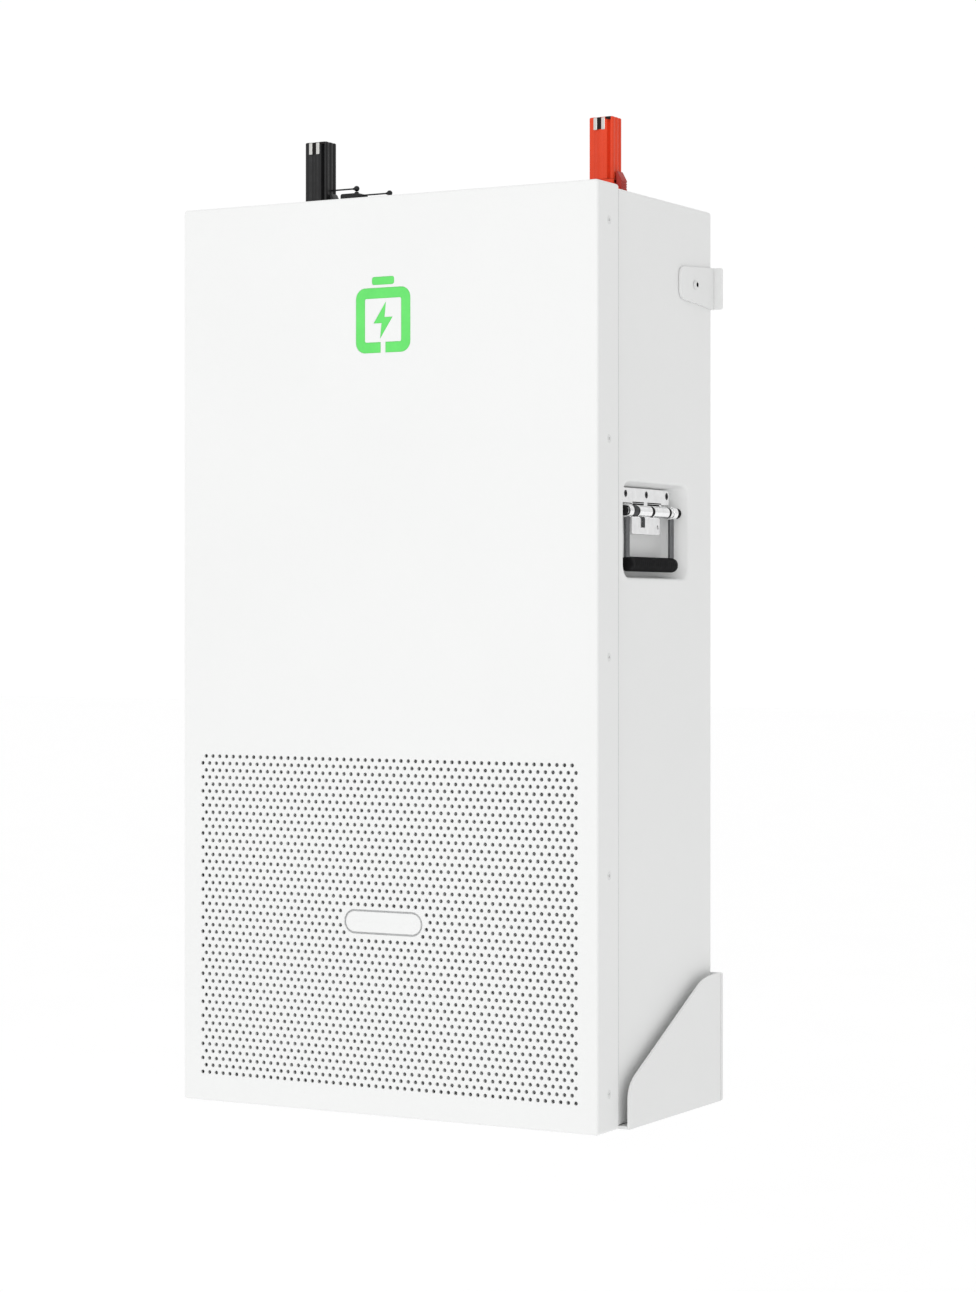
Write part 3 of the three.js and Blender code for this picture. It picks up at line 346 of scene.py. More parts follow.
RED_PLASTIC = moulded("red_moulding", (0.72, 0.056, 0.017), 0.42, 0.22)
DARK_RED_PLASTIC = moulded("latch_moulding", (0.36, 0.022, 0.014), 0.45, 0.3)
# painted shade: a mid grey for the shadow behind the cover's step and in the badge's groove
PAINTED_SHADE_GREY = moulded("painted_shade_grey", (0.54, 0.545, 0.55), 0.6, 0.3)
# painted shade: a matt black that stands for the dark inside the post's mouths
MOUTH_SHADE_BLACK = moulded("painted_mouth_shade", (0.010, 0.0085, 0.008), 0.6, 0.15)
GREY_PLASTIC = moulded("grey_moulding", (0.15, 0.16, 0.17), 0.55)
CELL_WRAP = cell_wrap()
ALUMINIUM = plated("brushed_aluminium", (0.72, 0.725, 0.735), 0.36, (0.05, 1, 1), 0.08)


# ---------- outlines ----------


def rounded(a0, a1, b0, b1, radius, steps=6):
    """An anticlockwise rectangle with round corners, from its lower right one."""
    corners = (
        (a1 - radius, b0 + radius, -90),
        (a1 - radius, b1 - radius, 0),
        (a0 + radius, b1 - radius, 90),
        (a0 + radius, b0 + radius, 180),
    )
    turns = [math.radians(90 * i / steps) for i in range(steps + 1)]
    return [
        (a + radius * math.cos(math.radians(start) + t), b + radius * math.sin(math.radians(start) + t))
        for a, b, start in corners
        for t in turns
    ]


def circle(a, b, radius, sides=28):
    turns = [2 * math.pi * i / sides for i in range(sides)]
    return [(a + radius * math.cos(t), b + radius * math.sin(t)) for t in turns]


def star(radius, lobes=6, depth=0.14, sides=36):
    """The outline of a six-lobed driver recess."""
    turns = [2 * math.pi * i / sides for i in range(sides)]
    reach = [radius * (1 + depth * math.cos(lobes * t)) for t in turns]
    return [(r * math.cos(t), r * math.sin(t)) for r, t in zip(reach, turns)]


def hexagon(radius, sides=36):
    """A hexagonal socket's outline, with as many points as the circle that it is bridged to."""
    step = math.pi / 3
    turns = [(2 * math.pi * k / sides + step / 2) % step - step / 2 for k in range(sides)]
    return [(a / math.cos(t), b / math.cos(t)) for (a, b), t in zip(circle(0, 0, radius, sides), turns)]


def grown(outline, distance):
    """An outline moved outwards, or inwards by a negative distance."""
    points = [Vector(p) for p in outline]
    moved = []
    for i, point in enumerate(points):
        before = (point - points[i - 1]).normalized()
        after = (points[(i + 1) % len(points)] - point).normalized()
        normals = Vector((before.y, -before.x)), Vector((after.y, -after.x))
        share = distance / max(0.2, 1 + normals[0].dot(normals[1]))
        moved.append(tuple(point + (normals[0] + normals[1]) * share))
    return moved


def placed(axis, points, depth):
    """Points in the plane across an axis, as (y, z), (x, z) or (x, y), at that depth along it."""
    turn = {"X": lambda a, b: (depth, a, b), "Y": lambda a, b: (a, depth, b), "Z": lambda a, b: (a, b, depth)}
    return [Vector(turn[axis](a, b)) for a, b in points]


def quarter(radius, steps=4):
    """(inset, depth) pairs round a quarter circle, from a face into a side."""
    turns = [math.pi / 2 * i / steps for i in range(steps + 1)]
    return [(radius * (1 - math.sin(t)), radius * (1 - math.cos(t))) for t in turns]


def crossings(place, points, edges):
    """How many edges a ray from a place crosses: an odd number means it lies inside them."""
    count = 0
    for i, j in edges:
        first, second = points[i], points[j]
        if (first.y > place.y) != (second.y > place.y):
            along = (place.y - first.y) / (second.y - first.y)
            count += first.x + along * (second.x - first.x) > place.x
    return count


# ---------- meshes ----------


class Piece:
    """One object of the model, gathered from closed solids that each have a material."""

    def __init__(self, name, material):
        self.name = name
        self.mesh = bmesh.new()
        self.materials = []
        self.use(material)

    def use(self, material):
        if material not in self.materials:
            self.materials.append(material)
        self.index = self.materials.index(material)
        return self

    def ring(self, points):
        return [self.mesh.verts.new(p) for p in points]

    def face(self, corners):
        self.mesh.faces.new(corners).material_index = self.index

    def bridge(self, first, second, skip=()):
        for i, corner in enumerate(first):
            if i not in skip:
                j = (i + 1) % len(first)
                self.face((corner, first[j], second[j], second[i]))

    def chain(self, rings, skip=()):
        for first, second in zip(rings, rings[1:]):
            self.bridge(first, second, skip)

    def fill(self, *loops):
        """Closes a flat region across an axis: its edge first, then its holes."""
        if len(loops) == 1:
            self.face(loops[0])
            return
        corners = [v for loop in loops for v in loop]
        spans = [max(v.co[k] for v in corners) - min(v.co[k] for v in corners) for k in range(3)]
        a, b = (k for k in range(3) if k != spans.index(min(spans)))
        points = [Vector((v.co[a], v.co[b])) * 1000 for v in corners]
        edges = []
        for loop in loops:
            start = len(edges)
            edges += [(start + i, start + (i + 1) % len(loop)) for i in range(len(loop))]
        made = delaunay_2d_cdt(points, edges, [], 0, 1e-5)
        for triangle in made[2]:
            picked = [made[3][i][0] for i in triangle]
            middle = sum((points[i] for i in picked), Vector((0, 0))) / 3
            if crossings(middle, points, edges) % 2:
                self.face([corners[i] for i in picked])

    def prism(self, axis, loops, low, high, edge=SOFT, steps=2):
        """A plate or bar across an axis, its outline first and then its holes, with softened edges."""
        arc = quarter(edge, steps)
        section = [(i, low + d) for i, d in arc] + [(i, high - d) for i, d in reversed(arc)]
        ends = []
        for k, loop in enumerate(loops):
            way = -1 if k == 0 else 1
            rings = [self.ring(placed(axis, grown(loop, way * i), depth)) for i, depth in section]
            self.chain(rings)
            ends.append((rings[0], rings[-1]))
        self.fill(*[first for first, _ in ends])
        self.fill(*[last for _, last in ends])
        return self

    def block(self, x0, x1, y0, y1, z0, z1, edge=SOFT):
        return self.prism("Z", [rounded(x0, x1, y0, y1, max(edge, 0.0002), 2)], z0, z1, edge)

    def loft(self, rings):
        """A skin over rings of points, closed at both ends."""
        made = [self.ring(ring) for ring in rings]
        self.chain(made)
        self.fill(made[0])
        self.fill(made[-1])
        return self

    def lathe(self, axis, centre, profile, sides=32):
        """A round body from (radius, place along the axis) pairs, closed on itself or ended on the axis."""
        rings = []
        for radius, along in profile:
            points = circle(0, 0, radius, sides) if radius > 1e-7 else [(0, 0)]
            rings.append(self.ring([p + Vector(centre) for p in placed(axis, points, along)]))
        if len(rings[0]) > 1:
            rings.append(rings[0])
        for first, second in zip(rings, rings[1:]):
            if len(first) == 1 and len(second) == 1:
                continue
            if len(first) == 1 or len(second) == 1:
                tip, base = (first[0], second) if len(first) == 1 else (second[0], first)
                for i, corner in enumerate(base):
                    self.face((corner, base[(i + 1) % sides], tip))
            else:
                self.bridge(first, second)
        return self

    def tube(self, path, radius, sides=16, nose=0.0):
        """A round bar along a path. A nose rounds its ends off over that length."""
        path = [Vector(p) for p in path]
        last = len(path) - 1
        ahead = [(path[min(i + 1, last)] - path[max(i - 1, 0)]).normalized() for i in range(last + 1)]
        side = ahead[0].orthogonal().normalized()
        rings = []
        for point, forward in zip(path, ahead):
            side = (side - forward * side.dot(forward)).normalized()
            other = forward.cross(side)
            rings.append([point + side * a + other * b for a, b in circle(0, 0, radius, sides)])
        if nose:
            for end, at, forward in ((0, path[0], -ahead[0]), (-1, path[-1], ahead[-1])):
                caps = [
                    [at + (p - at) * math.cos(t) + forward * nose * math.sin(t) for p in rings[end]]
                    for t in (0.5, 1.0, 1.35)
                ]
                rings = caps[::-1] + rings if end == 0 else rings + caps
        return self.loft(rings)

    def done(self, body, slot, *replaced, mirror=False, shift=None):
        """Makes the object, in place or mirrored to the other side, and gives it its body and finish."""
        if shift:
            bmesh.ops.translate(self.mesh, verts=self.mesh.verts, vec=shift)
        if mirror:
            bmesh.ops.scale(self.mesh, verts=self.mesh.verts, vec=(-1, 1, 1))
        bmesh.ops.recalc_face_normals(self.mesh, faces=self.mesh.faces)
        data = bpy.data.meshes.new(self.name)
        self.mesh.to_mesh(data)
        self.mesh.free()
        for material in self.materials:
            data.materials.append(material)
        data.shade_smooth()
        data.set_sharp_from_angle(angle=SMOOTH_ANGLE)
        made = bpy.data.objects.new(self.name, data)
        bpy.context.scene.collection.objects.link(made)
        made.modifiers.new("even_shading", "WEIGHTED_NORMAL").keep_sharp = True
        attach(made, body)
        if replaced:
            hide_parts(*replaced)
        return made


SIDES = (("right", False), ("left", True))
RIGHT_EDGE, TOP_EDGE, LEFT_EDGE = 6, 13, 20  # straight edges of a rounded() outline of 6 steps a corner


def shell_ring(low, high, inset, y):
    """A ring round a box-shaped shell, seen from the front."""
    radius = max(CORNER - inset, 0.0003)
    outline = rounded(low.x + inset, high.x - inset, low.z + inset, high.z - inset, radius)
    return placed("Y", outline, y)


def drilled(piece, first, second, edge, loops):
    """Fills one flat side of a shell between two rings, leaving holes."""
    n = len(first)
    piece.fill([first[edge], first[(edge + 1) % n], second[(edge + 1) % n], second[edge]], *loops)


# ---------- front cover ----------


def centre_of(node):
    low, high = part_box(node)
    return (low + high) / 2


light_low, light_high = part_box("status_light_lens")
light = {
    "x": (light_low.x + LENS_MARGIN, light_high.x - LENS_MARGIN),
    "z": (light_low.z + LENS_MARGIN, light_high.z - LENS_MARGIN),
}
badge_low, badge_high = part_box("name_badge")
badge_trim = BADGE_GROOVE + BADGE_FLANGE
badge_x = badge_high.x - badge_trim
badge_z = (badge_low.z + badge_trim, badge_high.z - badge_trim)


def light_outlines():
    """The battery pictogram's outlines: a shell with one bridge, its nub and a bolt."""
    (x0, x1), (z0, z1) = light["x"], light["z"]
    top = z1 - NUB["height"] - NUB["space"]
    half = LIGHT_BRIDGE / 2
    inner = rounded(x0 + LIGHT_STROKE, x1 - LIGHT_STROKE, z0 + LIGHT_STROKE, top - LIGHT_STROKE, 0.002, 10)
    shell = [(half, z0), *rounded(x0, x1, z0, top, LIGHT_CORNER, 10), (-half, z0), (-half, z0 + LIGHT_STROKE)]
    shell += [*reversed(inner), (half, z0 + LIGHT_STROKE)]
    nub = rounded(-NUB["width"] / 2, NUB["width"] / 2, z1 - NUB["height"], z1, 0.002)
    middle = (z0 + top) / 2
    w, h, waist, foot = (BOLT[k] for k in ("half_width", "half_height", "waist", "foot"))
    zigzag = [(-w, -waist), (-waist / 2, -waist), (-foot, -h), (w, waist), (waist / 2, waist), (foot, h)]
    return [shell, nub, [(a, middle + b) for a, b in zigzag]]


def badge_outline(grow):
    z0, z1 = badge_z
    radius = (z1 - z0) / 2 + grow
    return rounded(-badge_x - grow, badge_x + grow, z0 - grow, z1 + grow, radius - 0.00001, 14)


def hole_centres(bottom):
    """A 60-degree staggered field, left out round the badge: x, z and whether a whole cell fits there."""
    row_step = HOLE_PITCH * math.sqrt(3) / 2
    radius = (badge_z[1] - badge_z[0]) / 2
    straight = badge_x - radius
    for row in range(HOLE_ROWS):
        z = bottom + FIELD_RISE + row * row_step
        count = HOLES_IN_FULL_ROW - row % 2
        for i in range(count):
            x = (i - (count - 1) / 2) * HOLE_PITCH
            out = math.hypot(max(abs(x) - straight, 0), z - sum(badge_z) / 2) - radius - BADGE_GROOVE
            if out > BADGE_CLEAR:
                yield x, z, out > HOLE_PITCH * 0.65


def perforated(piece, centres, front, back):
    """Builds a hexagonal cell of sheet round each hole, and returns the field's edge loops by plane."""
    reach = HOLE_PITCH / math.sqrt(3)
    shared = {}
    spoke = {}

    def corner(x, z, y):
        key = (round(x * 1e5), round(z * 1e5), y == front)
        if key not in shared:
            shared[key] = piece.mesh.verts.new((x, y, z))
        return shared[key]

    for x, z in centres:
        section = ((HOLE_EDGE, front), (0, front + HOLE_EDGE), (0, back))
        rings = [
            piece.ring(placed("Y", circle(x, z, HOLE_RADIUS + grow, HOLE_SIDES), y))
            for grow, y in section
        ]
        piece.chain(rings)
        for y, ring in ((front, rings[0]), (back, rings[-1])):
            tips = [
                corner(x + reach * math.cos(t), z + reach * math.sin(t), y)
                for t in (math.radians(30 + 60 * k) for k in range(6))
            ]
            for k, tip in enumerate(tips):
                after = tips[(k + 1) % 6]
                arc = [ring[(2 * k + i) % HOLE_SIDES] for i in (3, 2, 1)]
                piece.face((tip, after, *arc))
                if (after, tip) in spoke:
                    del spoke[after, tip]
                else:
                    spoke[tip, after] = y
    return {y: loops_of([pair for pair, at in spoke.items() if at == y]) for y in (front, back)}


def loops_of(pairs):
    """Chains (from, to) pairs into closed loops, the longest first."""
    following = dict(pairs)
    loops = []
    while following:
        start = next(iter(following))
        loop = [start]
        while following[loop[-1]] is not start:
            loop.append(following[loop[-1]])
        for vertex in loop:
            del following[vertex]
        loops.append(loop)
    return sorted(loops, key=len, reverse=True)


def window(piece, outline, front, back):
    """The walls of an opening in the cover's face. Returns its loops in the front and back planes."""
    section = ((SOFT, front), (0, front + SOFT), (0, back))
    rings = [piece.ring(placed("Y", grown(outline, inset), y)) for inset, y in section]
    piece.chain(rings)
    return rings[0], rings[-1]


def front_cover():
    low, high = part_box("front_cover")
    piece = Piece("front_cover_sheet", POWDER)
    face, inner_face = low.y, low.y + SHEET
    outer = [(i, face + d) for i, d in quarter(FOLD)] + [(0, high.y - SOFT), (SOFT, high.y)]
    inner = [(SHEET - SOFT, high.y), (SHEET, high.y - SOFT)]
    inner += [(SHEET + i, inner_face + d) for i, d in reversed(quarter(INNER_FOLD, 2))]
    rings = [piece.ring(shell_ring(low, high, i, y)) for i, y in outer + inner]
    # The ring before each flat stretch of flange, and that stretch's depth in the sheet
    flats = {len(outer) - 3: 0.0, len(outer) + 1: SHEET}
    for k, (first, second) in enumerate(zip(rings, rings[1:])):
        piece.bridge(first, second, (RIGHT_EDGE, LEFT_EDGE) if k in flats else ())

    head, head_height, shank, _ = COVER_SCREW
    for edge, side in ((RIGHT_EDGE, 1), (LEFT_EDGE, -1)):
        bores = []
        for i in range(1, 6):
            at = centre_of(f"cover_screw_right_{i}")
            section = ((head + FIT, 0), (shank + FIT, head_height), (shank + FIT, SHEET))
            bore = [piece.ring(placed("X", circle(at.y, at.z, r), side * (high.x - d))) for r, d in section]
            piece.chain(bore)
            bores.append(bore)
        for k, depth in flats.items():
            drilled(piece, rings[k], rings[k + 1], edge, [b[-1] if depth else b[0] for b in bores])

    windows = [window(piece, grown(o, FIT), face, inner_face) for o in light_outlines()]
    badge = window(piece, badge_outline(BADGE_GROOVE), face, inner_face)
    holes = list(hole_centres(low.z))
    field = perforated(piece, [(x, z) for x, z, clear in holes if clear], face, inner_face)
    beside = [circle(x, z, HOLE_RADIUS, HOLE_SIDES) for x, z, clear in holes if not clear]
    beside = [window(piece, outline, face, inner_face) for outline in beside]
    for side, y, ring in ((0, face, rings[0]), (1, inner_face, rings[-1])):
        field_edge, round_badge = field[y]
        piece.fill(ring, field_edge, *[w[side] for w in windows])
        piece.fill(round_badge, badge[side], *[w[side] for w in beside])
    piece.done("root", "white_paint", "front_cover")


def status_light():
    piece = Piece("status_light_acrylic", LENS)
    back = light_high.y
    plate = rounded(light_low.x, light_high.x, light_low.z, light_high.z, 0.005)
    piece.prism("Y", [plate], back - 0.0015, back)
    for outline in light_outlines():
        piece.prism("Y", [outline], light_low.y, back - 0.0008, 0.0002)
    piece.done("root", "green_lens", "status_light_lens")


def name_badge():
    """A blank pill-shaped plate in a groove, on the flange that holds it behind the cover. The flange is
    grey: painted shade at the floor of the groove.
    """
    piece = Piece("name_badge_plate", POWDER)
    # painted shade: the grey flange darkens the groove round the plate
    piece.use(PAINTED_SHADE_GREY)
    piece.prism("Y", [badge_outline(BADGE_GROOVE + BADGE_FLANGE)], badge_high.y - 0.001, badge_high.y)
    piece.use(POWDER)
    piece.prism("Y", [badge_outline(0)], badge_low.y, badge_high.y - 0.0005, 0.0006, 4)
    piece.done("root", "white_paint", "name_badge")


def screw(piece, x, y, z, sizes, recess):
    """A screw along X with its head's face at x and a six-lobed recess in it."""
    head, head_height, shank, length = sizes
    edge = 0.0002
    rings = [
        piece.ring(placed("X", [(y + a, z + b) for a, b in points], x + depth))
        for points, depth in (
            (star(recess), -0.0011),
            (star(recess), -edge / 2),
            (star(recess + edge / 2), 0),
            (circle(0, 0, head * 0.82, 36), 0),
            (circle(0, 0, head - edge, 36), 0),
            (circle(0, 0, head, 36), -edge),
            (circle(0, 0, shank, 36), -head_height),
            (circle(0, 0, shank, 36), edge - length),
            (circle(0, 0, shank - edge, 36), -length),
        )
    ]
    piece.chain(rings)
    piece.fill(rings[0])
    piece.fill(rings[-1])
    return piece


def cover_screws():
    for side, mirror in SIDES:
        for i in range(1, 6):
            node = f"cover_screw_{side}_{i}"
            at = centre_of(f"cover_screw_right_{i}")
            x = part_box(f"cover_screw_right_{i}")[1].x
            piece = screw(Piece(f"{node}_head", PAINTED_SCREW), x - 0.00005, at.y, at.z, COVER_SCREW, 0.0015)
            piece.done("root", "white_screw", node, mirror=mirror)


# ---------- handles, made for the +X side ----------

pin_low, pin_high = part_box("handle_pin_right")
hinge = (pin_low + pin_high) / 2
case_low, case_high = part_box("rear_case")
leaf_face = hinge.x - KNUCKLE["radius"] + LEAF["thick"]
leaf_back = leaf_face - LEAF["thick"]
leaf_low = hinge.z + BAIL["eye"] + 0.001
leaf_screw_z = leaf_low + LEAF_SCREW_RISE
pocket_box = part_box("handle_pocket_right")


def ring_profile(bore, radius, start, end, edge):
    """The section of a ring or barrel with softened outer edges, for Piece.lathe."""
    return [
        (bore, start), (radius - edge, start), (radius, start + edge),
        (radius, end - edge), (radius - edge, end), (bore, end),
    ]


def leaf_screw_y(place):
    return hinge.y + LEAF_SCREW_SHIFT + place * LEAF_SCREW_PITCH


def pocket_outline(sunk, grow):
    """The pocket's section at a depth below the case's side: its walls slope inwards to the floor."""
    low, high = pocket_box
    lip = POCKET_LIP + POCKET_SHEET + POCKET_MOUTH
    share = sunk / POCKET["depth"]
    ends = POCKET["ends"] * share
    outline = rounded(
        low.y + lip + ends,
        high.y - lip - ends,
        low.z + lip + POCKET["bottom"] * share,
        high.z - lip - POCKET["top"] * share,
        POCKET["corner"],
        8,
    )
    return grown(outline, grow)


def handle_pocket(side, mirror):
    piece = Piece(f"handle_pocket_{side}_pressing", PRESSED)
    floor = POCKET["depth"]
    inside = [(d, i) for i, d in quarter(POCKET_MOUTH, 5)]
    inside += [(floor - d, -i) for i, d in reversed(quarter(POCKET_FILLET, 6))]
    outside = [(floor + POCKET_SHEET, -POCKET_FILLET), (floor - 0.002, POCKET_SHEET), (0.0042, POCKET_SHEET)]
    reach = POCKET_LIP + POCKET_SHEET + POCKET_MOUTH
    lip = [(0.0038, reach), (0.0023, reach), (0.0023, POCKET_MOUTH), (0.0003, POCKET_MOUTH)]
    rings = [
        piece.ring(placed("X", pocket_outline(sunk, grow), case_high.x - sunk))
        for sunk, grow in inside + outside + lip
    ]
    k = len(inside)
    piece.chain(rings[:k])
    piece.chain(rings[k:])
    piece.bridge(rings[-1], rings[0])
    piece.fill(rings[k - 1])
    piece.fill(rings[k])
    # Bosses that carry the hinge's two leaves
    for outline in leaf_outlines():
        piece.prism("X", [outline], case_high.x - floor - 0.0006, leaf_back - FIT, 0.0008, 3)
    piece.done("root", "white_paint", f"handle_pocket_{side}", mirror=mirror)


def leaf_outlines():
    half, corner = LEAF["half"], LEAF["corner"]
    top = leaf_low + LEAF["height"]
    upper = rounded(hinge.y - half, hinge.y + half, leaf_low, top, corner)
    lower = rounded(
        hinge.y + LOWER_LEAF["front"], hinge.y + LOWER_LEAF["rear"],
        hinge.z - LOWER_LEAF["drop"], leaf_low + LEAF["height"] / 2, corner,
    )
    return [upper, lower]


def hinge_plate(side, mirror):
    piece = Piece(f"hinge_plate_{side}_leaf", NICKEL)
    upper, lower = leaf_outlines()
    head, _, _, _ = LEAF_SCREW
    bores = [circle(leaf_screw_y(k), leaf_screw_z, head + FIT) for k in (-1, 0, 1)]
    piece.prism("X", [upper, *bores], leaf_back, leaf_face, 0.0004, 3)
    # The lower leaf, clear of the upper one's middle bore, with a rivet hole near its rear end
    y0, y1 = hinge.y + LOWER_LEAF["front"], hinge.y + LOWER_LEAF["rear"]
    apron = rounded(y0, y1, hinge.z - LOWER_LEAF["drop"], leaf_low + 0.0004, LEAF["corner"])
    low_z = hinge.z - LOWER_LEAF["drop"] + 0.0075
    rivets = [circle(hinge.y - 0.003, low_z, 0.0013), circle(y1 - 0.0045, low_z, 0.0018)]
    piece.prism("X", [apron, *rivets], leaf_back, leaf_face, 0.0004, 3)
    radius, bore = KNUCKLE["radius"], PIN["radius"] + 0.00025
    for front, rear in ((KNUCKLE["front"], -KNUCKLE["split"]), (KNUCKLE["split"], KNUCKLE["rear"])):
        y0, y1 = hinge.y + front, hinge.y + rear
        edge = 0.0005
        piece.lathe("Y", (hinge.x, 0, hinge.z), ring_profile(bore, radius, y0, y1, edge), 48)
        # The knuckle's sheet runs off the barrel's back and up into the leaf
        strip = rounded(leaf_back, leaf_face, hinge.z - 0.001, leaf_low + 0.002, 0.0005, 2)
        piece.prism("Y", [strip], y0 + edge, y1 - edge)
    piece.done("root", "chrome", f"hinge_plate_{side}", mirror=mirror)


def hinge_pin(side, mirror):
    piece = Piece(f"handle_pin_{side}_rod", NICKEL)
    radius, head, length = PIN["radius"], PIN["head"], PIN["head_length"]
    y0, y1 = pin_low.y + PIN["inset"], pin_high.y - PIN["inset"]
    e = 0.0008
    profile = [
        (0, y0), (head - 2 * e, y0 + e / 6), (head - e / 2, y0 + e / 2), (head, y0 + 2 * e),
        (head, y0 + length - e), (head - e, y0 + length),
        (radius, y0 + length), (radius, y1 - length),
        (head - e, y1 - length), (head, y1 - length + e),
        (head, y1 - 2 * e), (head - e / 2, y1 - e / 2), (head - 2 * e, y1 - e / 6), (0, y1),
    ]
    piece.lathe("Y", (hinge.x, 0, hinge.z), profile, 40)
    # Black end caps pressed over both heads
    piece.use(RUBBER)
    for end in (-1, 1):
        tip = hinge.y + end * (y1 - y0) / 2
        inner = tip - end * (length - 0.0004)
        outside = head + 0.0006
        cap = [(radius, inner), (head, inner), (outside, inner + end * 0.0005)]
        cap += [(outside, tip - end * 0.0012), (head - 0.0004, tip + end * 0.0001)]
        cap.append((radius, tip + end * 0.0002))
        piece.lathe("Y", (hinge.x, 0, hinge.z), cap, 40)
    piece.done("root", "chrome", f"handle_pin_{side}", mirror=mirror)


def hinge_bushes_and_gap_shade(side, mirror):
    """Black bushes on the pin: one between the knuckles and one behind the rear one, with a bright collar.
    Their black also stands for the shade in the gaps between the knuckles.
    """
    piece = Piece(f"hinge_bushes_and_gap_shade_{side}_rings", RUBBER)
    split, rear = KNUCKLE["split"], KNUCKLE["rear"]
    eye = BAIL["arm"] - BAIL["width"] / 2
    bore, edge = PIN["radius"] + 0.0001, 0.0004
    rings = [(-split, split, BUSH_RADIUS, RUBBER), (rear, BUSH_END, BUSH_RADIUS, RUBBER)]
    rings.append((BUSH_END, eye, COLLAR_RADIUS, NICKEL))
    for start, end, radius, material in rings:
        y0, y1 = hinge.y + start + FIT, hinge.y + end - FIT
        profile = ring_profile(bore, radius, y0, y1, edge)
        piece.use(material).lathe("Y", (hinge.x, 0, hinge.z), profile, 40)
    piece.done("root", "black_rubber", mirror=mirror)


def bail_path(start=0.0):
    """Down one arm, round two bends and up the other."""
    arm, drop, bend = BAIL["arm"], BAIL["drop"], BAIL["bend"]
    low = hinge.z - drop
    points = [Vector((hinge.x, hinge.y - arm, hinge.z - start))]
    for way, turn in ((-1, 180), (1, 270)):
        for i in range(9):
            t = math.radians(turn + 90 * i / 8)
            across = way * (arm - bend) + bend * math.cos(t)
            points.append(Vector((hinge.x, hinge.y + across, low + bend + bend * math.sin(t))))
    points.append(Vector((hinge.x, hinge.y + arm, hinge.z - start)))
    return points


def handle_bail(side, mirror):
    piece = Piece(f"handle_bail_{side}_rod", ROD_STEEL)
    eye, width, bore = BAIL["eye"], BAIL["width"], PIN["radius"] + 0.00025
    piece.tube(bail_path(eye - 0.001), BAIL["radius"], 28)
    piece.use(NICKEL)
    for end in (-1, 1):
        middle = hinge.y + end * BAIL["arm"]
        y0, y1, e = middle - width / 2, middle + width / 2, 0.0008
        profile = [
            (bore, y0), (eye - e, y0), (eye - e / 4, y0 + e / 4), (eye, y0 + e),
            (eye, y1 - e), (eye - e / 4, y1 - e / 4), (eye - e, y1), (bore, y1),
        ]
        piece.lathe("Y", (hinge.x, 0, hinge.z), profile, 40)
    piece.done(f"handle_{side}", "chrome", f"handle_bail_{side}", mirror=mirror)


def handle_grip(side, mirror):
    """A soft-cornered rubber grip with narrow ribs round it."""
    piece = Piece(f"handle_grip_{side}_rubber", RUBBER)
    half, centre = GRIP["half"], hinge.z - BAIL["drop"]
    ends = [(0, 0.0048), (0.0006, 0.0029), (0.0018, 0.0014), (0.0036, 0.0004), (0.006, 0)]
    stations = [(-half + inset, pinch) for inset, pinch in ends]
    ribs = int((2 * half - 0.02) / GRIP["rib"])
    for i in range(ribs + 1):
        middle = (i - ribs / 2) * GRIP["rib"]
        stations += [(middle - 0.0007, 0), (middle - 0.0003, GRIP["cut"])]
        stations += [(middle + 0.0003, GRIP["cut"]), (middle + 0.0007, 0)]
    stations += [(half - inset, pinch) for inset, pinch in reversed(ends)]
    rings = []
    for along, pinch in stations:
        a, b = GRIP["height"] / 2 - pinch, GRIP["width"] / 2 - pinch
        section = rounded(-b, b, -a, a, GRIP["corner"] - pinch, 7)
        rings.append([Vector((hinge.x + x, hinge.y + along, centre + z)) for x, z in section])
    piece.loft(rings)
    piece.done(f"handle_{side}", "black_rubber", f"handle_grip_{side}", mirror=mirror)


def handle_spring(side, mirror):
    """A torsion spring of round wire: its coil and fixed leg, and the leg that follows the bail."""
    wire, radius, turns, pitch = (SPRING[k] for k in ("wire", "radius", "turns", "pitch"))
    start = hinge.y + KNUCKLE["front"] - 0.0003 - wire
    coil = []
    for i in range(int(turns * 24) + 1):
        t = 2 * math.pi * i / 24 - math.pi / 2
        x, z = hinge.x - radius * math.cos(t), hinge.z + radius * math.sin(t)
        coil.append(Vector((x, start - pitch * i / 24, z)))
    piece = Piece(f"handle_spring_{side}_coil", SPRING_WIRE)
    piece.tube(coil, wire, 12, 0.0005)
    # The fixed leg comes out under the barrel, over the hinge's lower leaf
    run, top, end, stand = (SPRING_TAIL[k] for k in ("run", "top", "end", "stand"))
    x, y = hinge.x - stand, start + run
    drop = [Vector((x, y - 0.002, hinge.z - top)), Vector((x, y - 0.0004, hinge.z - top - 0.0005))]
    drop += [Vector((x, y, hinge.z - top - 0.002)), Vector((x, y, hinge.z - end))]
    piece.tube(drop, wire, 12, 0.0005)
    piece.done("root", "spring_steel", f"handle_spring_{side}", mirror=mirror)
    tip = coil[-1]
    hook = Piece(f"handle_spring_{side}_hook", SPRING_WIRE)
    way = Vector((hinge.x, hinge.y - BAIL["arm"] + 0.0045, hinge.z - 0.013))
    hook.tube([tip, tip.lerp(way, 0.3), tip.lerp(way, 0.7), way], wire, 12, 0.0005)
    hook.done(f"handle_{side}", "spring_steel", mirror=mirror)


def leaf_screws(side, mirror):
    for spot, k in (("front", -1), ("middle", 0), ("rear", 1)):
        node = f"hinge_screw_{spot}_{side}"
        piece = Piece(f"{node}_head", BLACK_STEEL)
        screw(piece, leaf_face, leaf_screw_y(k), leaf_screw_z, LEAF_SCREW, 0.0012)
        piece.done("root", "dark_steel", node, mirror=mirror)


# ---------- case ----------


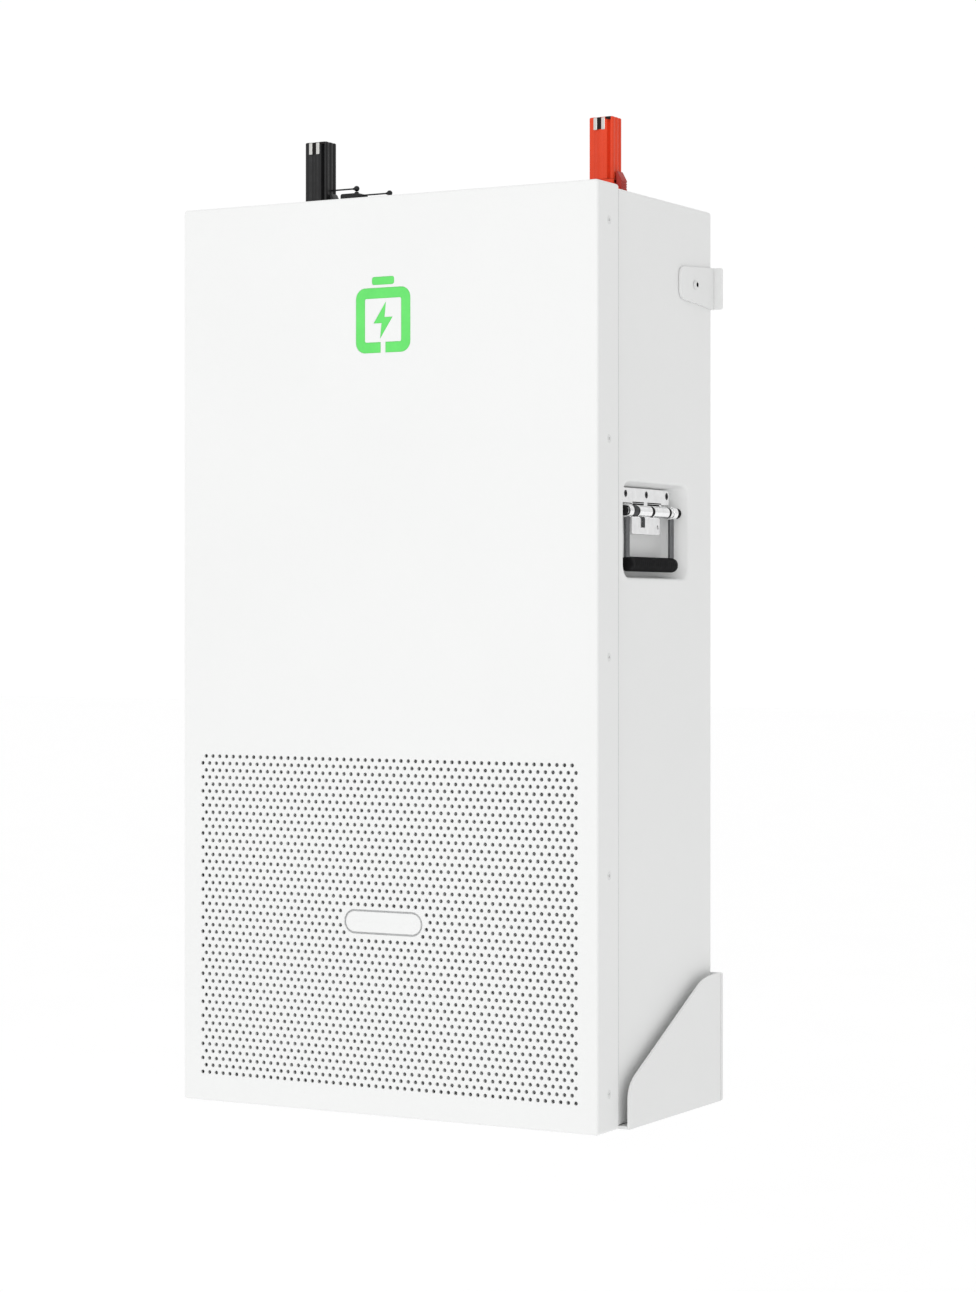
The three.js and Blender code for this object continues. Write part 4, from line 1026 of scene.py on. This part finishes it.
def rear_case():
    low, high = case_low, case_high
    piece = Piece("rear_case_sheet", POWDER)
    front, back = low.y, high.y
    outer = [(BACK_PANEL_INSET + 0.002, back - BACK_PANEL_DEPTH), (BACK_PANEL_INSET, back)]
    outer += [(i, back - d) for i, d in quarter(FOLD)]
    flat_outer = len(outer) - 1
    outer += [(i, front + d) for i, d in reversed(quarter(FOLD))]
    lip = [(RIM - SOFT, front), (RIM, front + SOFT), (RIM, front + SHEET - SOFT), (RIM - SOFT, front + SHEET)]
    inner = [(SHEET + INNER_FOLD, front + SHEET), (SHEET, front + SHEET + INNER_FOLD)]
    flat_inner = len(outer) + len(lip) + 1
    inner += [(SHEET, back - SHEET - INNER_FOLD), (SHEET + INNER_FOLD, back - SHEET)]
    rings = [piece.ring(shell_ring(low, high, i, y)) for i, y in outer + lip + inner]
    open_edges = (RIGHT_EDGE, TOP_EDGE, LEFT_EDGE)
    for k, (first, second) in enumerate(zip(rings, rings[1:])):
        piece.bridge(first, second, open_edges if k in (flat_outer, flat_inner) else ())
    piece.fill(rings[0])
    piece.fill(rings[-1])

    def hole(axis, outline, outside, inside):
        section = ((SOFT, outside), (0, outside + math.copysign(SOFT, inside - outside)), (0, inside))
        walls = [piece.ring(placed(axis, grown(outline, grow), depth)) for grow, depth in section]
        piece.chain(walls)
        return walls[0], walls[-1]

    mouth = pocket_outline(0, POCKET_MOUTH + 0.00005)
    mouth = grown(mouth, -SOFT)
    tops = []
    port_hole = PORT["bushing"] + FIT
    for node in ("receptacle_negative", "receptacle_positive", "comms_port"):
        at = terminal_axis(node)
        radius = port_hole if node == "comms_port" else BUSHING_HOLE
        tops.append(hole("Z", circle(at.x, at.y, radius), high.z, high.z - SHEET))
    sides = [(RIGHT_EDGE, [hole("X", mouth, high.x, high.x - SHEET)])]
    sides.append((LEFT_EDGE, [hole("X", mouth, low.x, low.x + SHEET)]))
    sides.append((TOP_EDGE, tops))
    for edge, holes in sides:
        drilled(piece, rings[flat_outer], rings[flat_outer + 1], edge, [h[0] for h in holes])
        drilled(piece, rings[flat_inner], rings[flat_inner + 1], edge, [h[1] for h in holes])
    piece.done("root", "white_paint", "rear_case")


def cover_step_shade():
    """Painted shade: a grey bead on the case along the rear edge of the cover's flange, standing for the
    shadow behind its step.
    """
    piece = Piece("cover_step_painted_shade", PAINTED_SHADE_GREY)
    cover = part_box("front_cover")[1]
    proud = cover.x - case_high.x - STEP_SHADE_SIZE["below"]
    near = cover.y + STEP_SHADE_SIZE["sunk"]
    far = near + STEP_SHADE_SIZE["width"]
    section = [(STEP_SHADE_SIZE["sunk"], near), (SOFT - proud, near), (-proud, near + SOFT)]
    section += [(-proud, far - 2 * SOFT), (2 * SOFT - proud, far), (STEP_SHADE_SIZE["sunk"], far)]
    rings = [piece.ring(shell_ring(case_low, case_high, i, y)) for i, y in section]
    piece.chain([*rings, rings[0]])
    piece.done("root", "white_paint")


# ---------- wall brackets ----------


def wall_plates():
    low_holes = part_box("lower_wall_plate")[1].z - 0.025
    for node, hole_z in (("upper_wall_plate", 0.0), ("lower_wall_plate", low_holes)):
        low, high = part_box(node)
        holes = [circle(x, hole_z, 0.0045, 32) for x in (-0.18, -0.09, 0.09, 0.18)]
        piece = Piece(f"{node}_sheet", BRACKET)
        piece.prism("Y", [rounded(low.x, high.x, low.z, high.z, 0.002), *holes], low.y, high.y, 0.0005, 3)
        piece.done("root", "bracket_paint", node)


def ear_screws(side, mirror):
    low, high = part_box("ear_screw_right")
    at = (low + high) / 2
    piece = Piece(f"ear_screw_{side}_head", PAINTED_SCREW)
    head, under = (high.z - low.z) / 2, high.x - 0.0024
    socket = 0.0022
    rings = [
        piece.ring(placed("X", [(at.y + a, at.z + b) for a, b in points], x))
        for points, x in (
            (hexagon(socket), high.x - 0.0021),
            (hexagon(socket), high.x - 0.0002),
            (circle(0, 0, socket * 1.25, 36), high.x),
            (circle(0, 0, head * 0.62, 36), high.x - 0.0001),
            (circle(0, 0, head * 0.86, 36), high.x - 0.0008),
            (circle(0, 0, head * 0.97, 36), high.x - 0.0019),
            (circle(0, 0, head, 36), under + 0.0003),
            (circle(0, 0, head - 0.0002, 36), under),
            (circle(0, 0, 0.003, 36), under),
            (circle(0, 0, 0.003, 36), low.x + 0.0004),
            (circle(0, 0, 0.0026, 36), low.x),
        )
    ]
    piece.chain(rings[1:])
    piece.fill(rings[-1])
    # The hex socket is bare dark steel; its black also paints shade into the recess
    piece.use(BLACK_STEEL)
    piece.chain(rings[:2])
    piece.fill(rings[0])
    piece.done("root", "white_screw", f"ear_screw_{side}", mirror=mirror)


# ---------- terminals ----------


def terminal_axis(node):
    """The upright axis of a terminal or port, at the case's top."""
    if node == "comms_port":
        at = centre_of(node)
        return Vector((at.x, at.y, case_high.z))
    at = centre_of(node.replace("receptacle", "terminal_post"))
    return Vector((at.x, at.y, case_high.z))


def post_outline():
    """The post's section: two shallow flutes and one deep one in front, and shallow ones down the sides."""
    hx, hy, corner = POST["half_x"], POST["half_y"], POST["corner"]
    base = rounded(-hx, hx, -hy, hy, corner, 4)
    arcs = [base[i * 5:(i + 1) * 5] for i in range(4)]
    groove = 0.0032

    def run(start, end, flutes, steps=20):
        """A wavy side between two corners: flutes are (place, half width, depth) along it."""
        start, end = Vector(start), Vector(end)
        way = end - start
        inward = Vector((-way.y, way.x)).normalized()
        points = []
        for i in range(1, steps):
            t = i / steps
            dip = sum(d * max(0, math.cos(min(1, abs(t - c) / w) * math.pi / 2)) for c, w, d in flutes)
            points.append(tuple(start + way * t + inward * dip))
        return points

    front = [(0.3, 0.16, 0.0012), (0.62, 0.05, 0.0005), (0.9, 0.09, groove)]
    side = [(0.3, 0.12, 0.0008), (0.78, 0.1, 0.0012)]
    back = [(0.3, 0.2, 0.0005), (0.7, 0.2, 0.0005)]
    outline = [*arcs[3]]
    outline += run(arcs[3][-1], arcs[0][0], front, 36) + arcs[0]
    outline += run(arcs[0][-1], arcs[1][0], side) + arcs[1]
    outline += run(arcs[1][-1], arcs[2][0], back) + arcs[2]
    outline += run(arcs[2][-1], arcs[3][0], side)
    return outline


def terminal_post(pole, plastic, slot, shift):
    piece = Piece(f"terminal_post_{pole}_housing", plastic)
    outline = post_outline()
    bottom, top = POST["bottom"], POST["top"]
    section = [(0.0004, bottom), (0, bottom + 0.0004), (0, top - 0.0012)]
    section += [(0.0003, top - 0.0004), (0.0009, top)]
    rings = [piece.ring(placed("Z", grown(outline, -inset), z)) for inset, z in section]
    piece.chain(rings)
    piece.fill(rings[0])
    mouth = rounded(-0.0035, 0.0095, -0.0025, 0.0055, 0.001, 3)
    well = [piece.ring(placed("Z", mouth, z)) for z in (top, top - 0.006)]
    piece.chain(well)
    piece.fill(well[1])
    piece.fill(rings[-1], well[0])
    # Painted shade: matt black blocks fill the mouths between the prongs and beside them, at the top of the
    # front face, and stand for the dark inside them
    piece.use(MOUTH_SHADE_BLACK)
    face = -POST["half_y"] - 0.0001
    first, second = PRONG["offsets"]
    half = PRONG["width"] / 2
    back, foot = face + 0.003, top - PRONG["rise"] + 0.0006
    piece.block(first + half, second - half, face, back, foot, top - 0.0003, 0.0002)
    beside = second + half + 0.0005
    piece.block(beside, POST["half_x"] - 0.0022, face, back, top - 0.0026, top - 0.0001, 0.0002)
    piece.done("root", slot, f"terminal_post_{pole}", shift=shift)


def terminal_contact(pole, shift):
    """A flat tinned bar with two folded prongs that show in the post's face."""
    piece = Piece(f"terminal_contact_{pole}_bar", TIN)
    low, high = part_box(f"terminal_contact_{pole}")
    bottom, top = low.z - shift.z, POST["top"]
    piece.block(-0.007, 0.007, -0.002, 0.002, bottom, top - PRONG["rise"], 0.0004)
    for x in PRONG["offsets"]:
        half = PRONG["width"] / 2
        front = -POST["half_y"] - 0.0002
        fold = rounded(front, -0.0002, top - PRONG["rise"], top - 0.0006, 0.0006, 3)
        piece.prism("X", [fold], x - half, x + half, 0.0005)
    piece.done("root", "tinned_copper", f"terminal_contact_{pole}", shift=shift)


def receptacle(pole, plastic, slot, shift):
    piece = Piece(f"receptacle_{pole}_housing", plastic)
    hx, hy, height = RECEPTACLE["half_x"], RECEPTACLE["half_y"], RECEPTACLE["height"]
    collar, rise = RECEPTACLE["collar"], RECEPTACLE["collar_height"]
    channel = rounded(-0.0073, 0.0073, -0.0023, 0.0023, 0.0004, 2)
    piece.prism("Z", [rounded(-hx, hx, -hy, hy, 0.002), channel], FIT, height, 0.0005, 3)
    rim = rounded(-hx - collar, hx, -hy - collar, hy + collar, 0.002)
    piece.prism("Z", [rim, channel], height - rise, height, 0.0005, 3)
    screw_x, screw_y = (-hx - 0.0028, hx + 0.0055), (-hy - 0.0005, hy + 0.0005)
    screws = [circle(x, y, 0.0011, 20) for x in screw_x for y in screw_y]
    foot = rounded(-hx - 0.005, hx + 0.008, -hy - 0.004, hy + 0.004, 0.003)
    piece.prism("Z", [foot, *screws], FIT, 0.003, 0.0003)
    for i in range(5):  # upright stiffening ribs on the back
        x = (i - 2) * 0.0055
        piece.block(x - 0.0006, x + 0.0006, hy - 0.0002, hy + 0.0016, 0.0028, height - rise, 0.0003)
    for way in (-1, 1):
        y0, y1 = sorted((way * (LATCH["half"] + FIT), way * (LATCH["half"] + FIT + LATCH_LUG["thick"])))
        reach = hx + LATCH["thick"] + 0.0005
        lug = [(hx - 0.001, 0.001), (reach, 0.001), (reach, 0.0105), (reach - 0.0025, LATCH_LUG["height"])]
        lug.append((hx - 0.001, LATCH_LUG["height"]))
        piece.prism("Y", [lug], y0, y1, 0.0003)
    piece.prism("Z", [circle(0, 0, 0.011, 40), channel], -0.014, 0.002, 0.0004)
    piece.done("root", slot, f"receptacle_{pole}", shift=shift)


def terminal_latch(pole, plastic, slot, shift):
    """A squeeze latch with finger ridges on its outer face."""
    piece = Piece(f"terminal_latch_{pole}_lever", plastic)
    axis = RECEPTACLE["half_x"] + LATCH["thick"] / 2 + 0.0006
    x0, x1 = axis - LATCH["thick"] / 2, axis + LATCH["thick"] / 2
    bottom, top, pivot = LATCH["bottom"], LATCH["top"], LATCH["pivot"]
    outline = [(x0 + 0.0015, bottom), (x1 - 0.001, bottom), (x1, bottom + 0.0035)]
    for i in range(4):
        z = 0.012 + i * 0.0024
        outline += [(x1, z), (x1 - 0.0006, z + 0.0006), (x1 - 0.0006, z + 0.0012), (x1, z + 0.0018)]
    outline += [(x1, 0.022), (x0 + 0.0022, top - 0.0016), (x0 + 0.0012, top), (x0 + 0.0004, top)]
    outline += [(x0, top - 0.001), (x0, pivot - 0.002)]
    piece.prism("Y", [outline], -LATCH["half"], LATCH["half"], 0.0004)
    stub, end = LATCH["stub"], 0.009
    piece.lathe("Y", (axis, 0, pivot), ring_profile(0, stub, -end, end, 0.0003), 20)
    piece.done(f"latch_{pole}", slot, f"terminal_latch_{pole}", shift=shift)


def lock_pin(node, body):
    """A thin steel pin with a ball end and a turned neck under the ball."""
    low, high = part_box(node)
    at = (low + high) / 2
    radius, ball = LOCK_PIN["radius"], LOCK_PIN["ball"]
    centre = high.x - ball
    neck = radius * 1.5
    profile = [(0, low.x), (radius * 0.6, low.x + 0.0001), (radius, low.x + 0.0006)]
    profile += [(radius, centre - ball - 0.0015), (neck, centre - ball - 0.001)]
    profile.append((neck, centre - ball + 0.0002))
    start = math.asin(min(1, neck / ball)) + 0.05
    turns = [start + (math.pi - start) * i / 14 for i in range(14)]
    profile += [(ball * math.sin(t), centre - ball * math.cos(t)) for t in turns]
    profile.append((0, high.x))
    piece = Piece(f"{node}_rod", BLACK_STEEL)
    piece.lathe("X", (0, at.y, at.z), profile, 28)
    piece.done(body, "dark_steel", node)


def comms_port(shift):
    low, high = (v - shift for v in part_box("comms_port"))
    piece = Piece("comms_port_housing", BLACK_PLASTIC)
    hx, hy, height = high.x, high.y, PORT["height"]
    # The body is built round its socket, which opens to the front
    socket, end = PORT["socket"], PORT["socket_end"]
    shell = [rounded(-hx, hx, FIT, height, 0.002), rounded(-socket, socket, 0.005, 0.015, 0.0008, 3)]
    piece.prism("Y", shell, -hy, end, 0.0005, 3)
    piece.prism("Y", shell[:1], end - 0.0001, hy, 0.0005, 3)
    piece.block(-0.0045, 0.0045, 0.0, end + 0.0002, 0.0148, 0.0172, 0.0003)
    bushing, depth = PORT["bushing"], low.z
    stem = [(0, depth), (bushing - 0.0004, depth), (bushing, depth + 0.0004), (bushing, 0.002), (0, 0.002)]
    piece.lathe("Z", (0, 0, 0), stem, 36)
    rest_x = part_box("post_lock_pin")[1].x - LOCK_PIN["ball"] - shift.x
    rest_top = high.z
    rest = [(0, height - 0.001), (0.0032, height - 0.001), (0.0022, height + 0.0005)]
    rest += [(0.0022, rest_top - 0.0004), (0.0017, rest_top), (0, rest_top)]
    piece.lathe("Z", (rest_x, 0, 0), rest, 28)
    piece.use(TIN)
    for i in range(8):
        x = (i - 3.5) * 0.0016
        piece.block(x - 0.0003, x + 0.0003, -0.0055, end + 0.0001, 0.0056, 0.0061, 0.0001)
    piece.done("root", "black_plastic", "comms_port", shift=shift)


# ---------- inside the case ----------


def board_parts():
    """The lamps on the light's board and the parts on the management board."""
    low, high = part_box("status_light_board")
    piece = Piece("status_light_lamps", GREY_PLASTIC)
    half = 0.0016
    for side in (-1, 1):
        for k in range(4):
            x, z = side * 0.024, (low.z + high.z) / 2 + (k - 1.5) * 0.016
            piece.block(x - half, x + half, low.y - 0.0004, low.y + 0.0012, z - half, z + half, 0.0003)
    piece.done("root", "grey_plastic")
    low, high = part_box("management_board")
    parts = Piece("management_board_parts", BLACK_PLASTIC)
    for row in range(3):
        for k in range(8):
            x = low.x + 0.02 + k * 0.026
            z = low.z + 0.006 + row * 0.0028
            parts.block(x, x + 0.004, high.y - 0.0035, high.y - 0.0019, z, z + 0.0018, 0.0002)
    parts.done("root", "black_plastic")


def cell_caps():
    """Busbars that step from cell to cell up the front of each stack."""
    for side, mirror in SIDES:
        low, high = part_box("cell_stack_right")
        piece = Piece(f"cell_links_{side}", TIN)
        pitch = (high.z - low.z) / 8
        for k in range(7):
            x = low.x + (0.04 if k % 2 else 0.134)
            z = low.z + (k + 1) * pitch
            link = rounded(x - 0.011, x + 0.011, z - 0.032, z + 0.032, 0.004)
            piece.prism("Y", [link], low.y - 0.0022, low.y + 0.0002, 0.0004)
            piece.use(BLACK_STEEL)
            for way in (-1, 1):
                bolt = circle(x, z + way * 0.022, 0.0045, 6)
                piece.prism("Y", [bolt], low.y - 0.0052, low.y - 0.002, 0.0003)
            piece.use(TIN)
        piece.done("root", "tinned_copper", mirror=mirror)


def finish_frame():
    """Gives each CAD solid that stays in view softened edges and its own material."""
    finishes = {
        "cover_gasket": (FOAM, 0.0012),
        "dust_filter": (FILTER, 0.0006),
        "status_light_board": (BOARD, 0.0002),
        "upper_ear_right": (BRACKET, 0.0005),
        "upper_ear_left": (BRACKET, 0.0005),
        "lower_shelf": (BRACKET, 0.0006),
        "gusset_right": (BRACKET, 0.0005),
        "gusset_left": (BRACKET, 0.0005),
        "cell_stack_right": (CELL_WRAP, 0.0015),
        "cell_stack_left": (CELL_WRAP, 0.0015),
        "cell_cradle": (GREY_PLASTIC, 0.0008),
        "management_board": (ALUMINIUM, 0.0003),
        "main_breaker": (GREY_PLASTIC, 0.0012),
    }
    for node, (material, edge) in finishes.items():
        piece = nodes[node]
        piece.data.materials.clear()
        piece.data.materials.append(material)
        piece.modifiers.new("joined_corners", "WELD").merge_threshold = 1e-6
        bevel = piece.modifiers.new("softened_edges", "BEVEL")
        bevel.width, bevel.segments = edge, 3
        bevel.limit_method, bevel.angle_limit = "ANGLE", math.radians(35)
        piece.modifiers.new("even_shading", "WEIGHTED_NORMAL")


# ---------- assembly ----------

front_cover()
status_light()
name_badge()
cover_screws()
rear_case()
cover_step_shade()
wall_plates()
for side, mirror in SIDES:
    handle_pocket(side, mirror)
    hinge_plate(side, mirror)
    hinge_pin(side, mirror)
    hinge_bushes_and_gap_shade(side, mirror)
    handle_bail(side, mirror)
    handle_grip(side, mirror)
    handle_spring(side, mirror)
    leaf_screws(side, mirror)
    ear_screws(side, mirror)

for pole, plastic, slot, latch_plastic, latch_slot in (
    ("negative", BLACK_PLASTIC, "black_plastic", BLACK_PLASTIC, "black_plastic"),
    ("positive", RED_PLASTIC, "red_plastic", DARK_RED_PLASTIC, "dark_red_plastic"),
):
    axis = terminal_axis(f"receptacle_{pole}")
    terminal_post(pole, plastic, slot, axis)
    terminal_contact(pole, axis)
    receptacle(pole, plastic, slot, axis)
    terminal_latch(pole, latch_plastic, latch_slot, axis)
comms_port(terminal_axis("comms_port"))
lock_pin("post_lock_pin", "post_pin")
lock_pin("port_lock_pin", "port_pin")
board_parts()
cell_caps()
finish_frame()


# ---------- stage ----------


def floor():
    """A pale floor well below the unit, which hangs on a wall."""
    size, drop = 30, 0.55
    z = cad_box[0].z - drop
    mesh = bpy.data.meshes.new("floor")
    corners = [(-size, -size, z), (size, -size, z), (size, size, z), (-size, size, z)]
    mesh.from_pydata(corners, [], [(0, 1, 2, 3)])
    plane = bpy.data.objects.new("floor", mesh)
    bpy.context.scene.collection.objects.link(plane)
    paper = Surface("pale_floor", (0.93, 0.93, 0.93), 0.9, Emission_Strength=0.14)
    paper.shader.inputs["Emission Color"].default_value = (1, 1, 1, 1)
    paper.mottle(paper.noise(3, 3), (0.92, 0.92, 0.92))
    mesh.materials.append(paper.material)


def softbox(name, place, target, size, power):
    lamp = bpy.data.lights.new(name, "AREA")
    lamp.shape = "RECTANGLE"
    lamp.size, lamp.size_y = size
    lamp.energy = power
    made = bpy.data.objects.new(name, lamp)
    made.location = place
    made.rotation_euler = (Vector(target) - Vector(place)).to_track_quat("-Z", "Y").to_euler()
    bpy.context.scene.collection.objects.link(made)


def studio():
    scene = bpy.context.scene
    world = bpy.data.worlds.new("white_studio")
    world.use_nodes = True
    tree = world.node_tree
    background = tree.nodes["Background"]
    background.inputs["Strength"].default_value = 1.0
    # The light is a little dimmer on the unit's +X side, in front of a backdrop that is white all round
    facing = tree.nodes.new("ShaderNodeSeparateXYZ")
    tree.links.new(tree.nodes.new("ShaderNodeTexCoord").outputs["Generated"], facing.inputs["Vector"])
    fade = tree.nodes.new("ShaderNodeMapRange")
    fade.interpolation_type = "SMOOTHSTEP"
    for socket, value in (("From Min", -0.2), ("From Max", 0.8), ("To Min", 1.005), ("To Max", 0.725)):
        fade.inputs[socket].default_value = value
    tree.links.new(facing.outputs["X"], fade.inputs["Value"])
    backdrop = tree.nodes.new("ShaderNodeMix")
    tree.links.new(tree.nodes.new("ShaderNodeLightPath").outputs["Is Camera Ray"], backdrop.inputs["Factor"])
    tree.links.new(fade.outputs["Result"], backdrop.inputs["A"])
    backdrop.inputs["B"].default_value = 1.01
    tree.links.new(backdrop.outputs["Result"], background.inputs["Color"])
    scene.world = world
    scene.view_settings.view_transform = "Standard"
    softbox("key", (0.5, -4.2, 0.9), (0, -0.1, -0.3), (2.4, 2.4), 26)


def camera():
    """Level with the unit's lower half, to its right front, with the horizon above the picture's middle."""
    lens = bpy.data.cameras.new("camera")
    lens.lens = 86.557
    lens.shift_y = -0.02085
    made = bpy.data.objects.new("camera", lens)
    made.location = (1.54034, -2.79028, -0.32635)
    made.rotation_euler = (math.radians(90), 0, math.radians(29.323))
    bpy.context.scene.collection.objects.link(made)
    bpy.context.scene.camera = made


floor()
studio()
camera()
